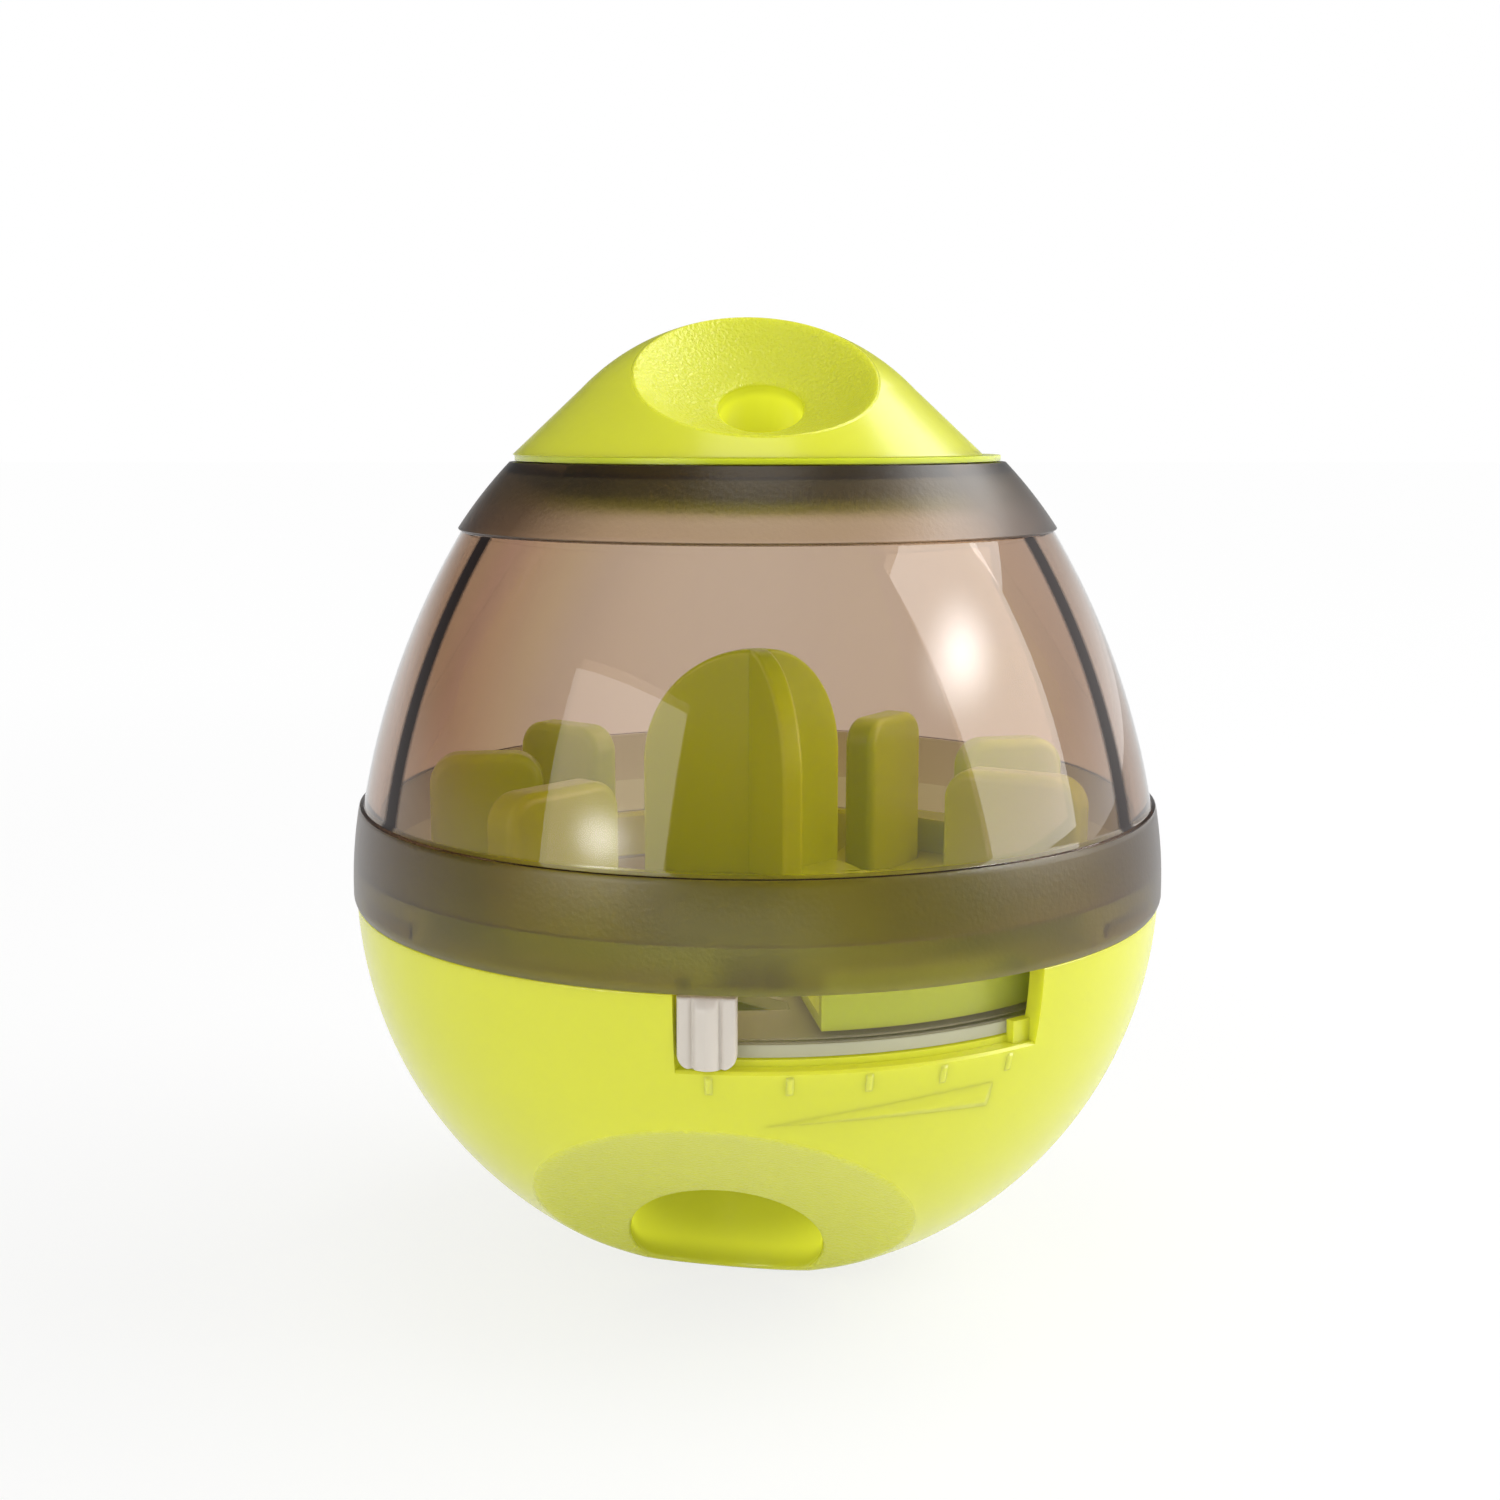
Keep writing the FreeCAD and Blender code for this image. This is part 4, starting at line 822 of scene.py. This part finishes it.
def smoked_dome(name):
    """Smoked window with a painted dark line at its edges, between a frosted band and collar."""
    finish = new_finish(name)
    height = finish.height() * 1000
    facing = finish.facing()
    band = 1 - finish.smooth(height, BAND_TOP, BAND_TOP + 0.1)
    collar = finish.smooth(height, COLLAR_LOW - 0.1, COLLAR_LOW)
    frosted = band + collar
    shader = finish.node("BsdfPrincipled", {}, {
        "Base Color": finish.mix(frosted, window_tint(finish, facing),
                                 frost_tint_painted_shade(finish, facing, height, collar)),
        "Roughness": 0.012 + frosted * 0.3,
        "Transmission Weight": 1.0,
        "IOR": 1.47,
        "Normal": finish.bump(finish.noise(1500, 2) * frosted, 0.15, 0.0002),
    })
    # Painted shade: an opaque dark shader mixed in as the line at the window's edges.
    dark = finish.node("BsdfPrincipled", {}, {
        "Base Color": (0.016, 0.01, 0.009, 1), "Roughness": 0.4, "Specular IOR Level": 0.1})
    line = painted_edge_line(finish, facing, height) * (1 - frosted.clipped())
    lined = finish.node("MixShader", {}, {0: line, 1: shader, 2: dark})
    return smoke_filled(finish, lined)


def smoke_filled(finish, shader):
    """Close a clear plastic that darkens with its thickness and lets light fall through."""
    clear = finish.node("BsdfTransparent", {}, {"Color": (0.92, 0.92, 0.92, 1)})
    mixed = finish.node("MixShader", {}, {0: finish.ray_is("Shadow"), 1: shader, 2: clear})
    smoke = finish.node("VolumeAbsorption", {}, {"Color": SMOKE, "Density": SMOKE_DENSITY})
    return finish.close(mixed, Volume=smoke)


def smoked_tray(name):
    """Thin smoked wall, nearly clear, over a paler and milky floor and rim."""
    finish = new_finish(name)
    height = finish.height() * 1000
    wall = finish.smooth(height, GATE_TOP - 0.2, GATE_TOP + 0.4)
    cloud = finish.noise(60, 3)
    pale = finish.mix(cloud, linear(206, 204, 178), linear(188, 186, 160))
    smoky = finish.mix(cloud, linear(186, 174, 148), linear(176, 163, 138))
    return finish.surface({
        "Base Color": finish.mix(wall, pale, smoky),
        "Alpha": 0.8 - wall * 0.7,
        "Roughness": 0.1 + cloud * 0.06,
        "IOR": 1.47,
        "Specular IOR Level": 0.25,
    })


def dull_plastic(name, colour, rough=0.38):
    """Moulded plastic with a faint grain."""
    finish = new_finish(name)
    cloud = finish.noise(60, 3)
    return finish.surface({
        "Base Color": finish.mix(cloud, linear(*colour), linear(*(c * 0.93 for c in colour))),
        "Roughness": rough + cloud * 0.08,
        "Subsurface Weight": 0.1,
        "Subsurface Radius": (1.0, 0.9, 0.8),
        "Subsurface Scale": 0.001,
        "Normal": finish.bump(finish.noise(1300, 2), 0.08, 0.0002),
    })


def metal(name, colour, rough, scale):
    """Plain metal with a fine uneven polish."""
    finish = new_finish(name)
    worn = finish.noise(scale, 4)
    return finish.surface({
        "Base Color": finish.mix(worn, linear(*colour), linear(*(c * 0.8 for c in colour))),
        "Metallic": 1.0,
        "Roughness": rough + worn * 0.2,
        "Normal": finish.bump(worn, 0.1, 0.0002),
    })


def smooth_edges(piece, angle=35):
    """Join a CAD node's loose triangles and shade them smooth up to an angle."""
    tree = bpy.data.node_groups.new("smooth_" + piece.name, "GeometryNodeTree")
    tree.interface.new_socket("Geometry", in_out="INPUT", socket_type="NodeSocketGeometry")
    tree.interface.new_socket("Geometry", in_out="OUTPUT", socket_type="NodeSocketGeometry")
    made = {}
    for name, kind in (("start", "NodeGroupInput"), ("merge", "GeometryNodeMergeByDistance"),
                       ("smooth", "GeometryNodeSetShadeSmooth"),
                       ("angle", "GeometryNodeInputMeshEdgeAngle"),
                       ("steep", "FunctionNodeCompare"),
                       ("sharp", "GeometryNodeSetShadeSmooth"), ("end", "NodeGroupOutput")):
        made[name] = tree.nodes.new(kind)
    made["merge"].inputs["Distance"].default_value = 0.000002
    made["smooth"].inputs["Shade Smooth"].default_value = True
    made["sharp"].domain = "EDGE"
    made["sharp"].inputs["Shade Smooth"].default_value = False
    made["steep"].operation = "GREATER_THAN"
    made["steep"].inputs[1].default_value = math.radians(angle)
    link = tree.links.new
    link(made["start"].outputs[0], made["merge"].inputs["Geometry"])
    link(made["merge"].outputs["Geometry"], made["smooth"].inputs["Geometry"])
    link(made["smooth"].outputs["Geometry"], made["sharp"].inputs["Geometry"])
    link(made["angle"].outputs["Unsigned Angle"], made["steep"].inputs[0])
    link(made["steep"].outputs["Result"], made["sharp"].inputs["Selection"])
    link(made["sharp"].outputs["Geometry"], made["end"].inputs[0])
    piece.modifiers.new("Smooth", "NODES").node_group = tree


def repeat_round(piece, count, step, material):
    """Copies of a piece at equal turns about the upright axis, as one plain mesh."""
    tree = bpy.data.node_groups.new("repeat_" + piece.name, "GeometryNodeTree")
    sockets = tree.interface
    sockets.new_socket("Geometry", in_out="INPUT", socket_type="NodeSocketGeometry")
    given = {}
    for name, kind, value in (("Count", "Int", count), ("Step", "Float", math.radians(step)),
                              ("Finish", "Material", material)):
        socket = sockets.new_socket(name, in_out="INPUT", socket_type="NodeSocket" + kind)
        given[socket.identifier] = value
    sockets.new_socket("Geometry", in_out="OUTPUT", socket_type="NodeSocketGeometry")
    made = {}
    for name, kind in (("start", "NodeGroupInput"), ("points", "GeometryNodePoints"),
                       ("index", "GeometryNodeInputIndex"), ("turn", "ShaderNodeMath"),
                       ("upright", "ShaderNodeCombineXYZ"),
                       ("copies", "GeometryNodeInstanceOnPoints"),
                       ("real", "GeometryNodeRealizeInstances"),
                       ("finish", "GeometryNodeSetMaterial"), ("end", "NodeGroupOutput")):
        made[name] = tree.nodes.new(kind)
    made["turn"].operation = "MULTIPLY"
    for source, output, target, slot in (
            ("start", "Count", "points", "Count"), ("index", "Index", "turn", 0),
            ("start", "Step", "turn", 1), ("turn", 0, "upright", "Z"),
            ("points", 0, "copies", "Points"), ("start", "Geometry", "copies", "Instance"),
            ("upright", 0, "copies", "Rotation"), ("copies", 0, "real", 0),
            ("real", 0, "finish", 0), ("start", "Finish", "finish", "Material"),
            ("finish", 0, "end", 0)):
        tree.links.new(made[source].outputs[output], made[target].inputs[slot])
    repeat = piece.modifiers.new("Repeat", "NODES")
    repeat.node_group = tree
    for identifier, value in given.items():
        repeat[identifier] = value
    made_plain(piece)


def made_plain(piece):
    """Turn what a piece's modifiers give into its own mesh."""
    bpy.context.view_layer.update()
    plain = bpy.data.meshes.new_from_object(
        piece.evaluated_get(bpy.context.evaluated_depsgraph_get()))
    piece.modifiers.clear()
    piece.data = plain


def finish_with(piece, material):
    piece.data.materials.clear()
    piece.data.materials.append(material)


def make_floor():
    """Pale floor that fades into the white room, and is darker in front in reflections."""
    mesh = bpy.data.meshes.new("floor")
    half = 6.0
    mesh.from_pydata([(-half, -half, 0), (half, -half, 0), (half, half, 0), (-half, half, 0)], [],
                     [(0, 1, 2, 3)])
    floor = bpy.data.objects.new("floor", mesh)
    bpy.context.scene.collection.objects.link(floor)
    finish = new_finish("floor_white")
    front = 1 - finish.smooth(finish.part(1), -0.3, -0.03)
    mirrored = finish.ray_is("Glossy")
    matt = finish.node("BsdfDiffuse", {}, {
        "Color": finish.mix(mirrored * front, (0.9, 0.9, 0.9, 1), (0.3, 0.3, 0.3, 1))})
    glow = finish.node("Emission", {}, {"Color": WHITE, "Strength": 1.0})
    # Seen directly the floor is mostly its own even glow; the light on it falls on the matt.
    far = finish.smooth(finish.distance_to((0, 0, 0)), 0.12, 0.7)
    share = finish.ray_is("Camera", "Glossy", "Transmission") * (0.78 + far * 0.2)
    share = share * (1 - mirrored * front * 0.8)
    finish_with(floor, finish.close(finish.node("MixShader", {}, {0: share, 1: matt, 2: glow})))


def aimed(name, content, place, aim):
    """An object at a place that faces a point."""
    holder = bpy.data.objects.new(name, content)
    bpy.context.scene.collection.objects.link(holder)
    holder.location = place
    toward = np.array(aim, float) - np.array(place, float)
    flat = math.hypot(toward[0], toward[1])
    holder.rotation_euler = (math.atan2(flat, -toward[2]), 0,
                             math.atan2(toward[1], toward[0]) - math.pi / 2)
    return holder


def add_lamp(name, place, aim, size, power):
    """A flat rectangular lamp that faces a point."""
    lamp = bpy.data.lights.new(name, "AREA")
    lamp.shape = "RECTANGLE"
    lamp.size, lamp.size_y = size
    lamp.energy = power
    return aimed(name, lamp, place, aim)


def add_glow(name, place, aim, reach, strength):
    """The hot middle of a soft box: it fades outward and shows in reflections alone."""
    mesh = bpy.data.meshes.new(name)
    across, up = reach
    mesh.from_pydata([(-across, -up, 0), (across, -up, 0), (across, up, 0), (-across, up, 0)],
                     [], [(0, 1, 2, 3)])
    sheet = aimed(name, mesh, place, aim)
    sheet.visible_camera = False
    sheet.visible_diffuse = False
    sheet.visible_transmission = False
    sheet.visible_shadow = False
    finish = new_finish(name)
    spread = finish.node("VectorMath", {"operation": "DIVIDE"},
                         {0: finish.place, 1: (across, up, 1)})
    fade = 1 - finish.smooth(finish.node("VectorMath", {"operation": "LENGTH"}, {0: spread}, 1),
                             0.0, 1.0)
    light = finish.node("Emission", {}, {"Color": WHITE, "Strength": fade * fade * strength})
    clear = finish.node("BsdfTransparent", {}, {})
    finish_with(sheet, finish.close(finish.node("AddShader", {}, {0: light, 1: clear})))


def add_room():
    """The white room: in reflections dimmer overhead and in front, brighter far right."""
    world = bpy.data.worlds.new("studio")
    bpy.context.scene.world = world
    room = Finish(world)
    white = room.ray_is("Camera", "Transmission")
    overhead = room.smooth(room.height(), -0.02, 0.24)
    aside = room.smooth(room.part(0), 0.25, 0.9)
    front = 1 - room.smooth(room.part(1), -0.95, -0.35)
    mirrored = room.ray_is("Glossy") * (1 - overhead * 0.9 + aside * 1.2) * (1 - front * 0.75)
    dull = 1 - (white + room.ray_is("Glossy")).clipped()
    level = white + mirrored * (1 - white) + dull * 0.54
    back = room.node("Background", {}, {"Color": WHITE, "Strength": level})
    room.node("OutputWorld", {}, {"Surface": back})


def add_lights():
    """Soft boxes at the right and the left, and lamps above, behind and below the object."""
    add_lamp("soft_box_right", (0.92, -0.14, 0.52), (0, -0.03, 0.09), (0.64, 0.9), 6.6)
    add_lamp("soft_box_left", (-0.62, -0.68, 0.36), (0, -0.03, 0.08), (0.62, 0.52), 2.4)
    add_lamp("top_light", (0.0, -0.1, 1.3), (0, 0, 0), (0.5, 0.5), 1.6)
    add_lamp("rim_light", (0.68, 0.42, 0.8), (0, 0, 0.1), (0.7, 0.45), 3.4)
    low_fill = add_lamp("low_fill", (-0.05, -0.5, 0.03), (-0.01, -0.03, 0.02), (0.4, 0.05), 0.22)
    low_fill.visible_glossy = False
    add_glow("right_glow", (0.86, -0.276, 0.602), (0, -0.03, 0.09), (0.42, 0.22), 14.0)
    add_glow("left_glow", (-0.64, -0.69, 0.242), (0, -0.03, 0.08), (0.26, 0.13), 11.0)


def add_camera():
    camera = bpy.data.cameras.new("camera")
    camera.lens = 46.5
    camera.sensor_width = 36
    holder = bpy.data.objects.new("camera", camera)
    bpy.context.scene.collection.objects.link(holder)
    holder.location = (-0.001, -0.2631, 0.1149)
    holder.rotation_euler = (math.radians(80.5), 0, 0)
    bpy.context.scene.camera = holder


bowl_shell = ((0, 0, BALL_HEIGHT), BALL)
cap_shell = ((CAP_SHIFT, 0, LID_TOP + CAP_CROWN - CAP_CROWN_ROUND), CAP_CROWN_ROUND)
lime_bowl = green_plastic("lime_bowl", LIME, scoop_ball(), bowl_shell, deep_glow=0.42)
lime_cap = green_plastic("lime_cap", LIME, dish_ball(), cap_shell, deep_glow=0.85)
# Painted highlight: the raised marks take a paler lime than the bowl they are moulded with.
lime_mark = green_plastic("lime_mark", HIGHLIT_LIME)
# Painted shade: a deeper, shaded copy of the lime for the parts inside the dome.
lime_inner = green_plastic("lime_inner", SHADED_LIME)
smoke_dome = smoked_dome("smoke_dome")
smoke_gate = smoked_tray("smoke_gate")
grey_knob = dull_plastic("grey_knob", WARM_GREY)
white_washer = dull_plastic("white_washer", NYLON)
steel = metal("screw_steel", ZINC, 0.25, 300)
iron = metal("ballast_iron", IRON, 0.45, 180)

tabs, marks, pegs = make_lock_tab(), make_scale_mark(), make_peg()
repeat_round(tabs, LUG_COUNT, 360 / LUG_COUNT, lime_bowl)
repeat_round(marks, MARK_COUNT, MARK_STEP, lime_mark)
repeat_round(pegs, LUG_COUNT, 360 / LUG_COUNT, lime_cap)
details = make_piece("bowl_details", [slot_stop(), gate_rail(), wedge()])
for piece, material, body, node, slot in (
        (make_bowl(), lime_bowl, "base", "bowl", "bowl_plastic"),
        (details, lime_bowl, "base", "bowl", "bowl_plastic"),
        (tabs, lime_bowl, "base", "bowl", "bowl_plastic"),
        (marks, lime_mark, "base", "bowl", "bowl_plastic"),
        (make_cap(), lime_cap, "cap", "cap_shell", "cap_plastic"),
        (pegs, lime_cap, "cap", "cap_shell", "cap_plastic"),
        (make_dome(), smoke_dome, "dome", "dome", "smoked_window"),
        (make_knob(), grey_knob, "gate", "knob", "knob_plastic")):
    finish_with(piece, material)
    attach(piece, body)
    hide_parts(node)

for node, material in (
        ("counterweight", iron), ("chute_floor", lime_inner), ("chute_screws", steel),
        ("gate", smoke_gate), ("maze_plate", lime_inner), ("centre_tower", lime_inner),
        ("pivot_washer", white_washer), ("pivot_screw", steel), ("lid_ring", lime_inner)):
    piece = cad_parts[node]
    smooth_edges(piece)
    finish_with(piece, material)

make_floor()
add_room()
add_lights()
add_camera()
bpy.context.scene.view_settings.view_transform = "Standard"
